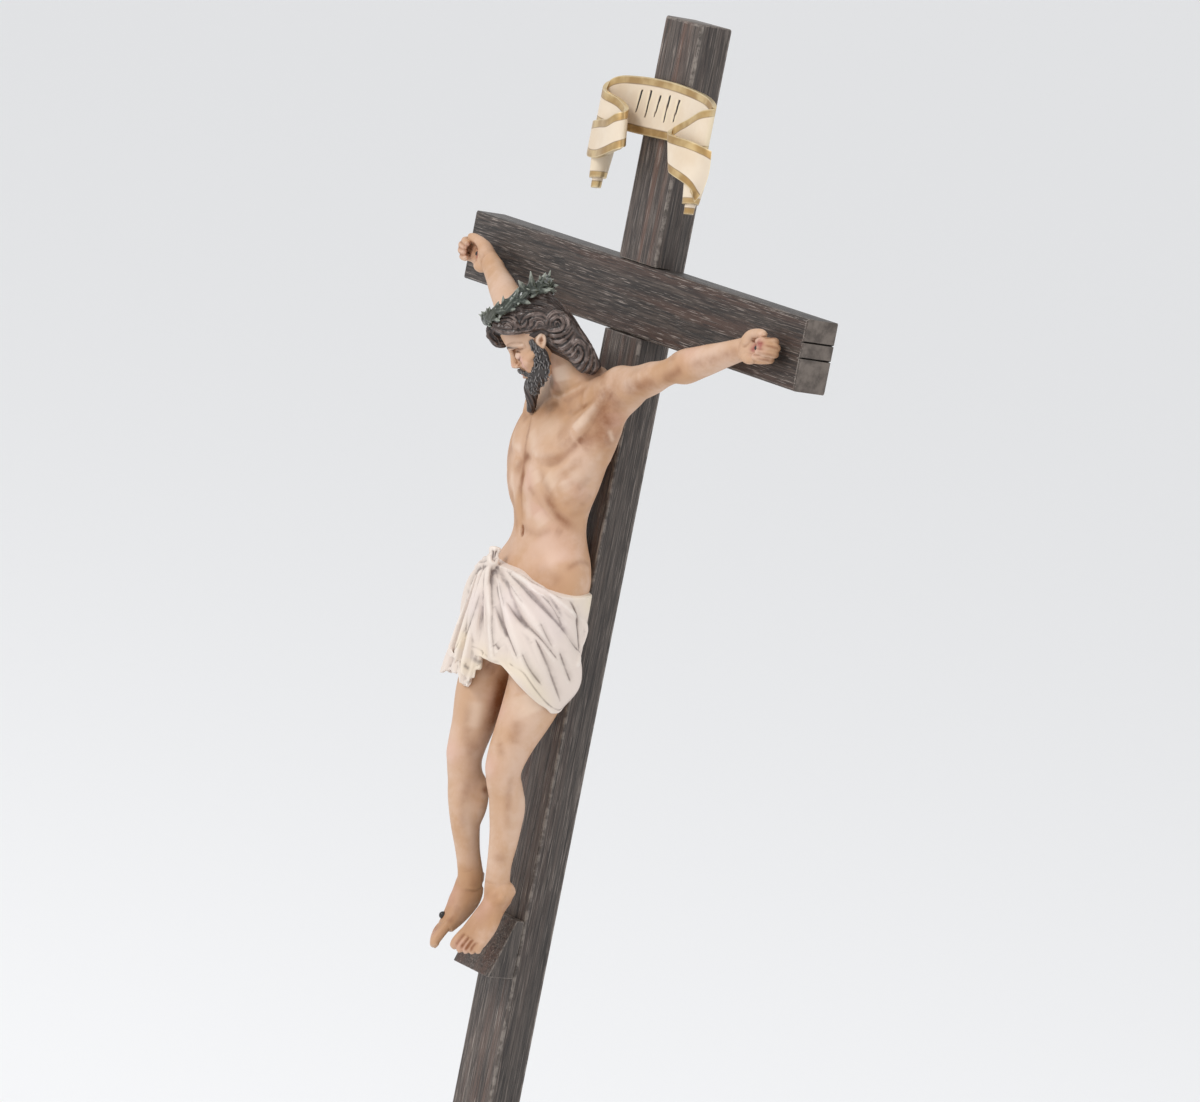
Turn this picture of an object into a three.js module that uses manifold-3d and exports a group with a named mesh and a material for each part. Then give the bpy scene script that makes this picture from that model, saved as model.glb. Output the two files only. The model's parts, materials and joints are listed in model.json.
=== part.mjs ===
// Wall crucifix: a cast and painted figure on a dark wood-grained cross, with a footrest and a title scroll.
// Millimetres, +Z up. The origin is on the back of the cross, at the middle of the crossing.
// X runs along the crossbeam, and every piece faces -Y.
// "Near" is the +X side of the figure, "far" the -X side.

import * as THREE from 'three';
import { mergeVertices } from 'three/addons/utils/BufferGeometryUtils.js';
import Module from 'manifold-3d';

const wasm = await Module();
wasm.setup();

// Driving dimensions of the cross
const BEAM_WIDTH = 29;
const BEAM_DEPTH = 15;
const BEAM_EDGE = 0.8;
const CROSSBEAM_LENGTH = 267;
const UPRIGHT_TOP = 115;
const UPRIGHT_BOTTOM = -399;
const GAP = 0.3;

// Driving dimensions of the footrest: how far it stands proud of the upright, and its height
const FOOTREST_TOP = -258.5;
const FOOTREST_HEIGHT = 24.5;
const FOOTREST_PROUD_TOP = 3.8;
const FOOTREST_PROUD_BOTTOM = 12.5;

// Driving dimensions of the title scroll
const RIBBON_THICKNESS = 1.8;
const ROLL_RADIUS = 4.6;
const PANEL_FRONT = -17.5;

// Driving places of the figure, for the near side: x turns over for the far side
const SHOULDER = [26, -28.5, -36];
const ELBOW = [63, -28, -20.7];
const WRIST = [102.4, -21.4, -3.8];
const HAND_RISE = 8;
const PALM_LENGTH = 16;
const FOOT_TURN = 20;
const NEAR_FOOT = { length: 35.2, drop: 56.5, wider: 1, deeper: 0.2 };
const FAR_FOOT = { length: 37.6, drop: 59.2, wider: 0, deeper: 1.5 };

// The head: its middle, its height, and how far it turns to the far side, bows, and leans over
const HEAD = [-5, -51, -23];
const HEAD_TURN = 28;
const HEAD_BOW = 41;
const HEAD_LEAN = -4;

const front = new THREE.Vector3(0, -1, 0);
const radians = THREE.MathUtils.degToRad;
const vector = (list) => new THREE.Vector3(...list);

// Solids: a closed geometry becomes a solid that can be joined and cut, and a solid becomes a geometry
function toSolid(geometry) {
  geometry.deleteAttribute('normal');
  geometry.deleteAttribute('uv');
  const merged = mergeVertices(geometry, 1e-4);
  return new wasm.Manifold(new wasm.Mesh({
    numProp: 3,
    vertProperties: new Float32Array(merged.attributes.position.array),
    triVerts: new Uint32Array(merged.index.array),
  }));
}

function toGeometry(solid) {
  const mesh = solid.getMesh();
  const geometry = new THREE.BufferGeometry();
  geometry.setAttribute('position', new THREE.BufferAttribute(new Float32Array(mesh.vertProperties), 3));
  geometry.setIndex(new THREE.BufferAttribute(new Uint32Array(mesh.triVerts), 1));
  return geometry;
}

const join = (solids) => solids.reduce((all, solid) => all.add(solid));

// A closed skin over rings of points: all rings have as many points, and each end closes on a point
function skin(rings, startPoint, endPoint) {
  const sides = rings[0].length;
  const points = [...rings.flat(), startPoint, endPoint];
  const startIndex = points.length - 2;
  const endIndex = points.length - 1;
  const lastRing = (rings.length - 1) * sides;
  const faces = [];
  for (let i = 0; i < sides; i += 1) {
    const next = (i + 1) % sides;
    faces.push(startIndex, next, i, endIndex, lastRing + i, lastRing + next);
    for (let ring = 0; ring < rings.length - 1; ring += 1) {
      const a = ring * sides;
      const b = a + sides;
      faces.push(a + i, a + next, b + next, a + i, b + next, b + i);
    }
  }
  const geometry = new THREE.BufferGeometry();
  const numbers = points.flatMap((p) => p.toArray());
  geometry.setAttribute('position', new THREE.Float32BufferAttribute(numbers, 3));
  geometry.setIndex(faces);
  const solid = toSolid(geometry);
  return solid.volume() < 0 ? toSolid(turnedInsideOut(geometry)) : solid;
}

function turnedInsideOut(geometry) {
  const index = geometry.index.array;
  for (let i = 0; i < index.length; i += 3) [index[i], index[i + 1]] = [index[i + 1], index[i]];
  return geometry;
}

// Rows of numbers with smooth rows put in between, as many to a span as `steps` says
function smooth(rows, steps) {
  const curve = (a, b, c, d, t) => b + 0.5 * ((c - a) * t + (2 * a - 5 * b + 4 * c - d) * t ** 2
    + (3 * b - a - 3 * c + d) * t ** 3);
  const result = [];
  for (let i = 0; i < rows.length - 1; i += 1) {
    const [before, after] = [Math.max(i - 1, 0), Math.min(i + 2, rows.length - 1)];
    const [a, b, c, d] = [before, i, i + 1, after].map((k) => rows[k]);
    for (let step = 0; step < steps; step += 1) {
      result.push(b.map((_, k) => curve(a[k], b[k], c[k], d[k], step / steps)));
    }
  }
  result.push(rows[rows.length - 1]);
  return result;
}

// A limb through stations [x, y, z, half width, half depth]: the depth faces `facing`, both ends are domed
function limb(stations, { sides = 12, steps = 2, facing = front, dome = 0.6, relief = null } = {}) {
  const rows = smooth(stations, steps);
  const places = rows.map((row) => vector(row.slice(0, 3)));
  const rings = rows.map((row, i) => {
    const [before, after] = [places[Math.max(i - 1, 0)], places[Math.min(i + 1, places.length - 1)]];
    const along = after.clone().sub(before).normalize();
    const side = along.clone().cross(facing).normalize();
    const ahead = side.clone().cross(along).normalize();
    return Array.from({ length: sides }, (_, k) => {
      const angle = (2 * Math.PI * k) / sides;
      const point = places[i].clone()
        .addScaledVector(side, row[3] * Math.sin(angle))
        .addScaledVector(ahead, row[4] * Math.cos(angle));
      const outward = point.clone().sub(places[i]).normalize();
      if (relief) point.addScaledVector(outward, relief(point, angle, i / (rows.length - 1)));
      return point;
    });
  });
  const cap = (i, inner) => {
    const outward = places[i].clone().sub(places[inner]).normalize();
    return places[i].clone().addScaledVector(outward, dome * Math.min(rows[i][3], rows[i][4]));
  };
  return skin(rings, cap(0, 1), cap(places.length - 1, places.length - 2));
}

// A ball with its own half sizes, turned by a matrix when it belongs to the head
function ball(place, halfSizes, { matrix = null, detail = 10, turn = [0, 0, 0] } = {}) {
  const geometry = new THREE.SphereGeometry(1, detail, Math.round(detail * 0.6));
  geometry.scale(...halfSizes);
  geometry.applyMatrix4(new THREE.Matrix4().makeRotationFromEuler(new THREE.Euler(...turn.map(radians))));
  geometry.translate(...place);
  if (matrix) geometry.applyMatrix4(matrix);
  return toSolid(geometry);
}

const between = (a, b, share) => a.map((value, k) => value + (b[k] - value) * share);
const bump = (distance, width) => Math.exp(-((distance / width) ** 2));
const step = (value, low, high) => THREE.MathUtils.smoothstep(value, low, high);
const mirrored = (place, side) => [side * place[0], ...place.slice(1)];

// Cross

function beam(length, alongX) {
  const half = [length / 2 - BEAM_EDGE, BEAM_WIDTH / 2 - BEAM_EDGE];
  const shape = new THREE.Shape([
    new THREE.Vector2(-half[0], -half[1]), new THREE.Vector2(half[0], -half[1]),
    new THREE.Vector2(half[0], half[1]), new THREE.Vector2(-half[0], half[1]),
  ]);
  const geometry = new THREE.ExtrudeGeometry(shape, {
    depth: BEAM_DEPTH - 2 * BEAM_EDGE, bevelSize: BEAM_EDGE, bevelThickness: BEAM_EDGE, bevelSegments: 1,
  });
  geometry.translate(0, 0, BEAM_EDGE);
  if (!alongX) geometry.rotateZ(Math.PI / 2);
  geometry.rotateX(Math.PI / 2);
  return geometry;
}

function block(size, place) {
  const geometry = new THREE.BoxGeometry(...size);
  geometry.translate(...place);
  return toSolid(geometry);
}

// The two beams are halved into each other, with their fronts flush
function buildUpright() {
  const geometry = beam(UPRIGHT_TOP - UPRIGHT_BOTTOM, false);
  geometry.translate(0, 0, (UPRIGHT_TOP + UPRIGHT_BOTTOM) / 2);
  const notch = block([BEAM_WIDTH * 2, BEAM_DEPTH, BEAM_WIDTH + 2 * GAP], [0, -BEAM_DEPTH + GAP / 2, 0]);
  return toSolid(geometry).subtract(notch);
}

function buildCrossbeam() {
  const notch = block([BEAM_WIDTH + 2 * GAP, BEAM_DEPTH, BEAM_WIDTH * 2], [0, -GAP / 2, 0]);
  const splits = [5.2, -1.2].map((height) => {
    const wedge = new THREE.CylinderGeometry(1.1, 1.1, BEAM_DEPTH * 2, 3);
    wedge.scale(2.2, 1, 0.45);
    wedge.translate(CROSSBEAM_LENGTH / 2, 0, height);
    return toSolid(wedge);
  });
  const whole = toSolid(beam(CROSSBEAM_LENGTH, true)).subtract(notch);
  return splits.reduce((solid, split) => solid.subtract(split), whole);
}

function buildFootrest() {
  const back = BEAM_DEPTH + GAP;
  const side = new THREE.Shape([
    new THREE.Vector2(back, FOOTREST_TOP),
    new THREE.Vector2(BEAM_DEPTH + FOOTREST_PROUD_TOP, FOOTREST_TOP),
    new THREE.Vector2(BEAM_DEPTH + FOOTREST_PROUD_BOTTOM, FOOTREST_TOP - FOOTREST_HEIGHT),
    new THREE.Vector2(back, FOOTREST_TOP - FOOTREST_HEIGHT),
  ]);
  const geometry = new THREE.ExtrudeGeometry(side, { depth: BEAM_WIDTH, bevelEnabled: false });
  geometry.rotateX(Math.PI / 2);
  geometry.rotateZ(-Math.PI / 2);
  geometry.translate(BEAM_WIDTH / 2, 0, 0);
  return toSolid(geometry);
}

// Title scroll: a ribbon that folds forward at each end of its panel, comes back, and hangs out in a roll.
// Stations are [x, y, top, bottom, how far the bottom edge leans to +X].
const RIBBON = [
  [-43.4, -20.6, 65.6, 52.2, 0], [-37.6, -23.6, 66.4, 51.4, 0.4], [-29, -26, 67.8, 52, 0.8],
  [-18.4, -28, 69.4, 54.6, 1.8], [-12, -28.4, 73, 58.6, 4.4], [-14.2, -26.5, 75.4, 62, 2],
  [-22.1, -25.3, 77.9, 64, 0], [-33, -24, 79.2, 65, 0], [-39.4, -21.5, 80.6, 65.4, 0],
  [-40.2, -18.8, 83.8, 65.4, 0], [-34.6, -16.8, 86.5, 65.2, 0], [-21.6, -16.6, 88.2, 65.2, 0],
  [-8, -16.6, 89.2, 65.6, 0], [8, -16.6, 89.5, 66.2, 0], [24, -16.6, 88.7, 66.4, 0],
  [37, -18.4, 87.4, 66.4, 0], [46, -21.5, 84.8, 66, 0], [42.6, -24.3, 82.4, 65, 0],
  [34.2, -24.8, 78, 63.6, 0], [27.9, -25.5, 74.4, 61, 2], [28, -27.6, 70.6, 56.4, 6.4],
  [35, -29, 70.2, 54.8, 4], [43, -28.4, 70, 53, 3.4], [48, -25.4, 69, 49.8, 3.8],
  [50, -21.4, 67.4, 46.6, 5],
];

// Shallow strokes on the panel, in the place of an inscription: [x, top, bottom, lean]
const STROKES = [
  [-9, 84, 71.5, 1.6], [-4, 84.2, 72, -2], [1.5, 84.4, 71.5, 1.4], [6.5, 84.6, 72, -1.6],
  [12, 84.8, 72, 1.8],
];
const STROKE_WIDTH = 1.3;
const STROKE_DEPTH = 0.35;

function buildScroll() {
  const rings = RIBBON.map(([x, y, top, bottom, lean], i) => {
    const ahead = RIBBON[Math.min(i + 1, RIBBON.length - 1)];
    const behind = RIBBON[Math.max(i - 1, 0)];
    const across = new THREE.Vector3(ahead[1] - behind[1], behind[0] - ahead[0], 0);
    across.setLength(RIBBON_THICKNESS / 2);
    const corner = (z, shift, sign) => new THREE.Vector3(x + shift, y, z).addScaledVector(across, sign);
    return [corner(top, 0, -1), corner(top, 0, 1), corner(bottom, lean, 1), corner(bottom, lean, -1)];
  });
  const middle = (ring) => ring
    .reduce((sum, p) => sum.add(p), new THREE.Vector3())
    .multiplyScalar(1 / ring.length);
  const ribbon = skin(rings, middle(rings[0]), middle(rings[rings.length - 1]));
  const scroll = join([ribbon, roll([-32.4, -21.9], 58, 39.6), roll([47.2, -23.9], 57, 40.8)]);
  return STROKES.map(buildStroke).reduce((solid, stroke) => solid.subtract(stroke), scroll);
}

function buildStroke([x, top, bottom, lean]) {
  const geometry = new THREE.BoxGeometry(STROKE_WIDTH, 2 * STROKE_DEPTH, top - bottom);
  geometry.rotateY(Math.atan2(lean, top - bottom));
  geometry.translate(x, PANEL_FRONT, (top + bottom) / 2);
  return toSolid(geometry);
}

// The rolled end of the ribbon: each inner turn stands further down than the one around it
function roll([x, y], top, bottom) {
  const height = top - bottom;
  const turns = [[1, 0.68], [0.6, 1]];
  const profile = [new THREE.Vector2(0, 0)];
  for (const [share, depth] of turns) {
    const [, above] = turns[turns.findIndex(([s]) => s === share) - 1] ?? [0, 0];
    profile.push(new THREE.Vector2(ROLL_RADIUS * share, -height * above));
    profile.push(new THREE.Vector2(ROLL_RADIUS * share * 0.92, -height * depth));
  }
  profile.push(new THREE.Vector2(0, -height));
  const geometry = new THREE.LatheGeometry(profile.reverse(), 7);
  geometry.rotateX(Math.PI / 2);
  geometry.translate(x, y, top);
  return toSolid(geometry);
}

// Body

// Torso stations [x, y, z, half width, half depth], from the neck's root to the seat
const TORSO = [
  [0, -30, -31, 14, 8.4], [0, -28.6, -36, 21, 10], [0, -27.6, -43, 27.6, 11.4], [0, -27.4, -50, 30.6, 12.4],
  [0, -29.2, -56, 32, 13.2], [0, -31.2, -62, 32, 14.4], [0, -32.4, -68, 31, 14.8],
  [0, -32.8, -74, 29.2, 15], [0, -32.9, -80, 26.8, 14.8], [0, -32.6, -86, 24, 13.8],
  [0, -32, -92, 21.8, 12.6], [0, -31, -98, 21.2, 12.2], [0, -29.9, -104, 22.4, 13.2],
  [0, -29.2, -110, 25.4, 14.6], [0, -29.6, -117, 27.6, 16], [0, -31.4, -126, 27.8, 16.4],
  [0, -32.4, -137, 27, 16.4], [0, -32.4, -148, 24, 15],
];

// How the front of the torso stands out or sinks, worked out from where a point lies.
// The breast's lower edge rises to the armpit, and the rib arch falls away from the middle.
const breastEdge = (x) => -73 + 0.0012 * x ** 3;
const ribArch = (x) => -80.5 - 0.75 * x;

function torsoRelief(point, angle) {
  const facing = Math.max(Math.cos(angle), 0) ** 0.6;
  const x = Math.abs(point.x);
  const { z } = point;
  const aboveEdge = z - breastEdge(x);
  const breast = 2.8 * step(aboveEdge, -2.5, 3) * (1 - step(aboveEdge, 12, 28)) * step(x, 0.5, 5);
  const ribCage = 1.6 * step(z - ribArch(x), -3, 3) * (1 - step(z, -70, -58)) * step(x, 0, 4);
  const belly = 1 * bump(x, 11) * bump(z + 108, 8) - 1.2 * bump(x, 2) * bump(z + 102, 2.4);
  const ribs = 0.7 * Math.sin((z + 0.5 * x) * 0.8) * bump(x - 22, 8) * bump(z + 80, 11);
  const hipBone = 1.5 * bump(x - 20, 5) * bump(z + 113, 6);
  return facing * (breast + ribCage + belly + hipBone - 0.8) + ribs;
}

const buildTorso = () => limb(TORSO, { sides: 21, steps: 1, dome: 0.3, relief: torsoRelief });

function buildNeck() {
  const stations = [
    [0, -30, -40, 12.5, 9], [-0.8, -34.6, -34, 9, 8],
    [-2.2, -39.6, -29, 7.2, 7.2], [-4.5, -47.6, -21, 6.6, 7.4],
  ];
  return limb(stations, { sides: 9, steps: 1 });
}

// Shoulder, upper arm and forearm of one side
function buildArm(side) {
  const at = (share, from, to, width, depth) => [...mirrored(between(from, to, share), side), width, depth];
  const arm = limb([
    [...mirrored([15, -29, -41], side), 8, 8], at(0, SHOULDER, ELBOW, 8.8, 9),
    at(0.3, SHOULDER, ELBOW, 7.6, 7.6), at(0.65, SHOULDER, ELBOW, 7, 7), at(1, SHOULDER, ELBOW, 6.4, 6.2),
    at(0.25, ELBOW, WRIST, 6.9, 6.6), at(0.6, ELBOW, WRIST, 6, 5.6), at(1, ELBOW, WRIST, 4.9, 4.1),
  ], { sides: 10, steps: 1 });
  const shoulder = ball(mirrored([25, -29, -36], side), [9.8, 9.4, 8.8], { detail: 8 });
  const breastFold = limb([
    [...mirrored([35, -30.4, -34.6], side), 2.6, 2.6], [...mirrored([28.5, -32.8, -42], side), 4.4, 3.6],
    [...mirrored([22.5, -35.8, -51], side), 5.4, 3.2], [...mirrored([16, -40, -59], side), 4, 2.4],
  ], { sides: 5, steps: 1 });
  return [arm, shoulder, breastFold];
}

// One hand: the palm faces front, the fingers bend forward over it, and the thumb lies on top.
// Places are [out along the hand, towards the front, up].
// Each finger bends at `joint`, that far from the wrist.
const FINGER_RADIUS = 1.5;
const FINGERS = [
  { rise: 3.6, joint: 19.8 }, { rise: 1.2, joint: 21.2 },
  { rise: -1.2, joint: 20.6 }, { rise: -3.5, joint: 18.2 },
];
const THUMB = [[1.5, 0, 1.6, 3.2], [6, 1, 5.4, 3], [11.6, 1.8, 6.2, 2.6], [17, 2.4, 6, 2]];

function buildHand(side) {
  const out = new THREE.Vector3(Math.cos(radians(HAND_RISE)), 0, Math.sin(radians(HAND_RISE)));
  const up = new THREE.Vector3(-out.z, 0, out.x);
  const place = ([along, ahead, rise]) => {
    const point = vector(WRIST)
      .addScaledVector(out, along).addScaledVector(front, ahead).addScaledVector(up, rise);
    return mirrored(point.toArray(), side);
  };
  const digit = (points) => limb(points.map(([along, ahead, rise, radius]) => [
    ...place([along, ahead, rise]), radius, radius,
  ]), { sides: 4, steps: 1, facing: new THREE.Vector3(0, 0, 1), dome: 0.9 });
  const palm = limb([
    [...place([-3, 0, 0]), 4.7, 4], [...place([4, -0.6, 0]), 5.2, 3.6], [...place([11, -1.4, 0]), 5.4, 2.9],
    [...place([PALM_LENGTH + 1, -1.8, 0]), 5.2, 2.3],
  ], { sides: 7, steps: 1 });
  const fingers = FINGERS.map(({ rise, joint }) => digit([
    [PALM_LENGTH - 1, -2, rise, FINGER_RADIUS], [joint, -2.2, rise, FINGER_RADIUS],
    [joint + 0.2, 2.4, rise * 0.95, FINGER_RADIUS * 0.95],
    [joint - 4.6, 3.8, rise * 0.85, FINGER_RADIUS * 0.85],
  ]));
  const nail = ball(place([15, 1.2, -0.6]), [1.3, 1.3, 1.3], { detail: 5 });
  return [palm, ...fingers, digit(THUMB), nail];
}

// Leg stations [x, y, z, half width, half depth], from the hip to the ankle.
// The far leg stands further forward.
const NEAR_LEG = [
  [13, -31, -140, 13, 14.5], [13.5, -30, -158, 12.4, 13], [13.5, -32.5, -171, 10.8, 11.4],
  [13.4, -36.4, -184, 8.8, 9.2], [13.2, -38.4, -193, 7.8, 8.2], [13, -37.9, -200, 7.1, 7.4],
  [12.8, -34.7, -206.5, 7.1, 7.4], [12.6, -32.6, -214, 7.2, 7.4], [12.2, -31.2, -224, 6.2, 6.4],
  [11.5, -30.6, -236, 4.9, 5.2], [11, -29.4, -245, 4.9, 5.4], [11, -28.6, -251, 4.2, 4.2],
];
const FAR_LEG = [
  [-13, -33, -140, 13, 14.5], [-13, -37, -158, 12.2, 12.6], [-13, -39.6, -171, 10.8, 11],
  [-13, -40.8, -184, 8.8, 9], [-13, -42, -193, 7.8, 8.2], [-12.9, -41.7, -200, 7.1, 7.4],
  [-12.8, -39.6, -206.5, 7.1, 7.4], [-12.5, -38.2, -214, 7.2, 7.4], [-12, -36.2, -224, 6.2, 6.4],
  [-11.2, -32.8, -236, 4.9, 5.2], [-10.4, -30, -245, 4.9, 5.4], [-10.4, -29, -251, 4.2, 4.2],
];

const buildLeg = (stations) => limb(stations, { sides: 9, steps: 1 });

// One foot hangs down and forward from its ankle and turns outward a little, and its toes lie side by side.
// Places are [along from the heel, above the sole, towards the other foot].
const TOES = [
  { inward: 4.6, radius: 1.9, reach: 0 }, { inward: 1.7, radius: 1.45, reach: -0.2 },
  { inward: -0.8, radius: 1.4, reach: -1.2 }, { inward: -3.1, radius: 1.35, reach: -2.4 },
  { inward: -5.2, radius: 1.3, reach: -4 },
];
const HEEL_FROM_ANKLE = [7.9, 4];

function buildFoot(leg, { length, drop: dropAngle, wider, deeper }, side) {
  const [x, y, z] = leg[leg.length - 1];
  const heel = new THREE.Vector3(x, y + HEEL_FROM_ANKLE[0], z + HEEL_FROM_ANKLE[1]);
  const [drop, turn] = [radians(dropAngle), radians(FOOT_TURN)];
  const along = new THREE.Vector3(0, -Math.cos(drop), -Math.sin(drop));
  const across = new THREE.Vector3(
    -side * Math.cos(turn), -Math.sin(turn) * Math.sin(drop), Math.sin(turn) * Math.cos(drop));
  const above = across.clone().cross(along).multiplyScalar(side);
  const place = ([run, rise, inward]) => heel.clone()
    .addScaledVector(along, run).addScaledVector(above, rise).addScaledVector(across, inward).toArray();
  const sole = limb([
    [...place([0.5, 3.6, 0]), 3.6, 3.2], [...place([4.5, 5.4, 0]), 5, 5.6],
    [...place([11, 4.5 - deeper, 0]), 5.2, 4.9 + deeper],
    [...place([19, 3.4 - deeper, -wider * 0.8]), 6 + wider, 3.5 + deeper],
    [...place([26.5, 2.6 - deeper * 0.4, 0.2 - wider]), 6.4 + wider, 2.7 + deeper * 0.4],
  ], { sides: 8, steps: 1, facing: above });
  const toes = TOES.map(({ inward, radius, reach }) => {
    const end = length + reach;
    const over = inward - wider * (0.9 - inward * 0.14);
    return limb([
      [...place([24, 2.4, over * 0.92]), radius, radius], [...place([end - 5, 2.8, over]), radius, radius],
      [...place([end - radius, 1.7, over]), radius, radius * 0.9],
    ], { sides: 4, steps: 1, facing: above, dome: 0.9 });
  });
  const nail = ball(place([23.4, 5.6, 2.6]), [1.7, 1.7, 1.7], { detail: 5 });
  return [sole, ...toes, nail];
}

// Head: made upright around its own middle, then turned, bowed and leaned
const headMatrix = new THREE.Matrix4()
  .makeTranslation(...HEAD)
  .multiply(new THREE.Matrix4().makeRotationZ(radians(-HEAD_TURN)))
  .multiply(new THREE.Matrix4().makeRotationX(radians(HEAD_BOW)))
  .multiply(new THREE.Matrix4().makeRotationY(radians(HEAD_LEAN)));
const inHead = (place) => vector(place).applyMatrix4(headMatrix).toArray();
const headLimb = (stations, options = {}) => {
  const facing = vector(options.facing ?? [0, -1, 0]).transformDirection(headMatrix);
  return limb(stations.map((row) => [...inHead(row.slice(0, 3)), ...row.slice(3)]), { ...options, facing });
};

// Head stations from the chin to the crown of the skull: [x, y, z, half width, half depth]
const HEAD_SHAPE = [
  [0, -6.4, -15.4, 2.8, 3.2], [0, -5.2, -13.2, 5, 6.2], [0, -3.9, -9.6, 6.9, 8.4],
  [0, -2.9, -5.4, 8.1, 9.8], [0, -1.8, -0.8, 9, 10.8], [0, -0.9, 3.8, 9.7, 12], [0, 0, 8.4, 9.6, 12],
  [0, 0.8, 13, 7.6, 9.6],
];

function buildFace() {
  const skull = headLimb(HEAD_SHAPE, { sides: 12, steps: 1, dome: 0.4 });
  const noseLine = [[0, -11.4, 1.8, 1.1, 1.6], [0, -12.4, -2.2, 1.5, 2.4], [0, -12.6, -4.6, 2.1, 2.8]];
  const nose = headLimb(noseLine, { sides: 5, steps: 1 });
  const brows = headLimb([[-6.8, -9, 2.2, 0.9, 0.8], [-3.6, -11.6, 3.1, 0.9, 0.9], [0, -12, 2.2, 0.9, 0.9],
    [3.6, -11.6, 3.1, 0.9, 0.9], [6.8, -9, 2.2, 0.9, 0.8]], { sides: 4, steps: 1 });
  const eyes = [-1, 1].map((side) => (
    ball([side * 3.7, -10.9, -0.2], [1.9, 1.1, 1.2], { matrix: headMatrix, detail: 5 })));
  const lipLine = [[-2.6, -10.6, -8, 0.6, 1.2], [0, -11.6, -7.9, 1.1, 1.8], [2.6, -10.6, -8, 0.6, 1.2]];
  const lips = headLimb(lipLine, { sides: 5, steps: 1 });
  const ears = [-1, 1].map((side) => (
    ball([side * 9, 1.4, -0.8], [1.4, 1.9, 3.1], { matrix: headMatrix, detail: 5, turn: [-30, 0, 0] })));
  return [skull, nose, brows, ...eyes, lips, ...ears];
}

// Beard: a cover over the jaw, and short locks that end in a point below the chin
function buildBeard() {
  const jawLine = [
    [-8.4, -2.2, -2.6, 1, 1.6], [-7.4, -4.6, -8.4, 1.7, 2.2], [-4.6, -8.4, -13, 2.3, 2.8],
    [0, -10.2, -15, 2.8, 3.4],
    [4.6, -8.4, -13, 2.3, 2.8], [7.4, -4.6, -8.4, 1.7, 2.2], [8.4, -2.2, -2.6, 1, 1.6],
  ];
  const cover = headLimb(jawLine, { sides: 6, steps: 1, facing: [0, 0, -1] });
  const locks = [-3, 0, 3].map((x) => headLimb([[x, -9.8, -13.6, 2, 2], [x * 0.7, -11, -16.6, 1.7, 1.7],
    [x * 0.4, -10.6, -19, 0.9, 0.9]], { sides: 4, steps: 1 }));
  const moustache = [-1, 1].map((side) => headLimb([
    [0, -12.8, -6.4, 0.7, 0.9], [side * 2.8, -12, -7.2, 0.9, 1], [side * 4.6, -10.2, -10, 0.7, 0.9],
  ], { sides: 4, steps: 1 }));
  return [cover, ...locks, ...moustache];
}

// Hair: a cap that falls in waves behind the neck, and wavy locks that sweep back over each ear
const HAIR_CAP = [
  [0, 1, 17.4, 6.5, 8], [0, 0.9, 15.2, 10.6, 13], [0, 1.4, 11, 11.4, 14.2], [0, 3.8, 6, 11.4, 13],
  [0, 8, 0, 11, 10.4], [0, 11, -6, 10.4, 8.2], [0, 12.4, -12, 9.8, 6.4], [0, 13.4, -18, 8.6, 4.8],
  [0, 14.4, -23, 6, 3.2],
];
const HAIR_LOCKS = [
  { start: [8, -10.4, 8.6], sweep: [11.4, -3, 6.6], fall: [11.6, 6.8, -1], end: [9.4, 11, -17], radius: 3 },
  { start: [9.4, -6, 12.6], sweep: [12, 4.4, 8], fall: [11, 12.4, -4], end: [8.8, 13.4, -22], radius: 3 },
];
const LOCK_WAVE = 1.3;
const FORELOCK = [
  [-1, -13.4, 14, 2.2, 2.4], [-3.6, -13.9, 10.8, 3.2, 3.4],
  [-5.6, -13.6, 7.2, 3.2, 3.6], [-7, -11.6, 4.6, 1.8, 2.2],
];
const FAR_LOCK = [
  [-12, -43, -33, 2.8, 2.4], [-12, -44.6, -40, 2.7, 2.4], [-11.4, -44.6, -46.4, 2.5, 2.2],
  [-12.4, -43, -53, 1.3, 1.2],
];

function buildHair() {
  const strands = (_, angle, share) => (
    0.8 * Math.sin(7 * angle + 3 * Math.sin(share * 9)) * step(share, 0.15, 0.4));
  const cap = headLimb(HAIR_CAP, { sides: 14, steps: 1, dome: 0.15, relief: strands });
  const locks = [-1, 1].flatMap((side) => HAIR_LOCKS.map(({ start, sweep, fall, end, radius }, i) => {
    const rows = smooth([start, sweep, fall, end].map((p) => [side * p[0], p[1], p[2]]), 2);
    return headLimb(rows.map(([x, y, z], k) => {
      const share = k / (rows.length - 1);
      const wave = LOCK_WAVE * Math.sin(share * 3 * Math.PI + i);
      const thick = radius * Math.sin(Math.PI * (0.22 + 0.68 * share));
      return [x, y + wave, z + wave * 0.6, thick, thick * 0.8];
    }), { sides: 4, steps: 1, facing: [side, 0, 0.2] });
  }));
  const forelock = headLimb(FORELOCK, { sides: 5, steps: 1 });
  return [cap, ...locks, forelock, limb(FAR_LOCK, { sides: 5, steps: 1 })];
}

// Crown of thorns: a ring whose flat section turns round and round, as two stems twisted together do,
// with thorns that point out and up
const CROWN_MIDDLE = [0, 0.4, 17];
const CROWN_LEAN = 0.13;
const CROWN_HALF = [12.2, 14.6];
const CROWN_SECTION = [3.2, 1.9];
const CROWN_TWISTS = 5;
const CROWN_STEPS = 24;
const CROWN_SIDES = 5;
const THORNS = 8;

function crownPlace(turn, lift, outward) {
  const x = (CROWN_HALF[0] + outward) * Math.sin(turn);
  const y = -(CROWN_HALF[1] + outward) * Math.cos(turn);
  return [CROWN_MIDDLE[0] + x, CROWN_MIDDLE[1] + y, CROWN_MIDDLE[2] + lift + CROWN_LEAN * x];
}

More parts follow.
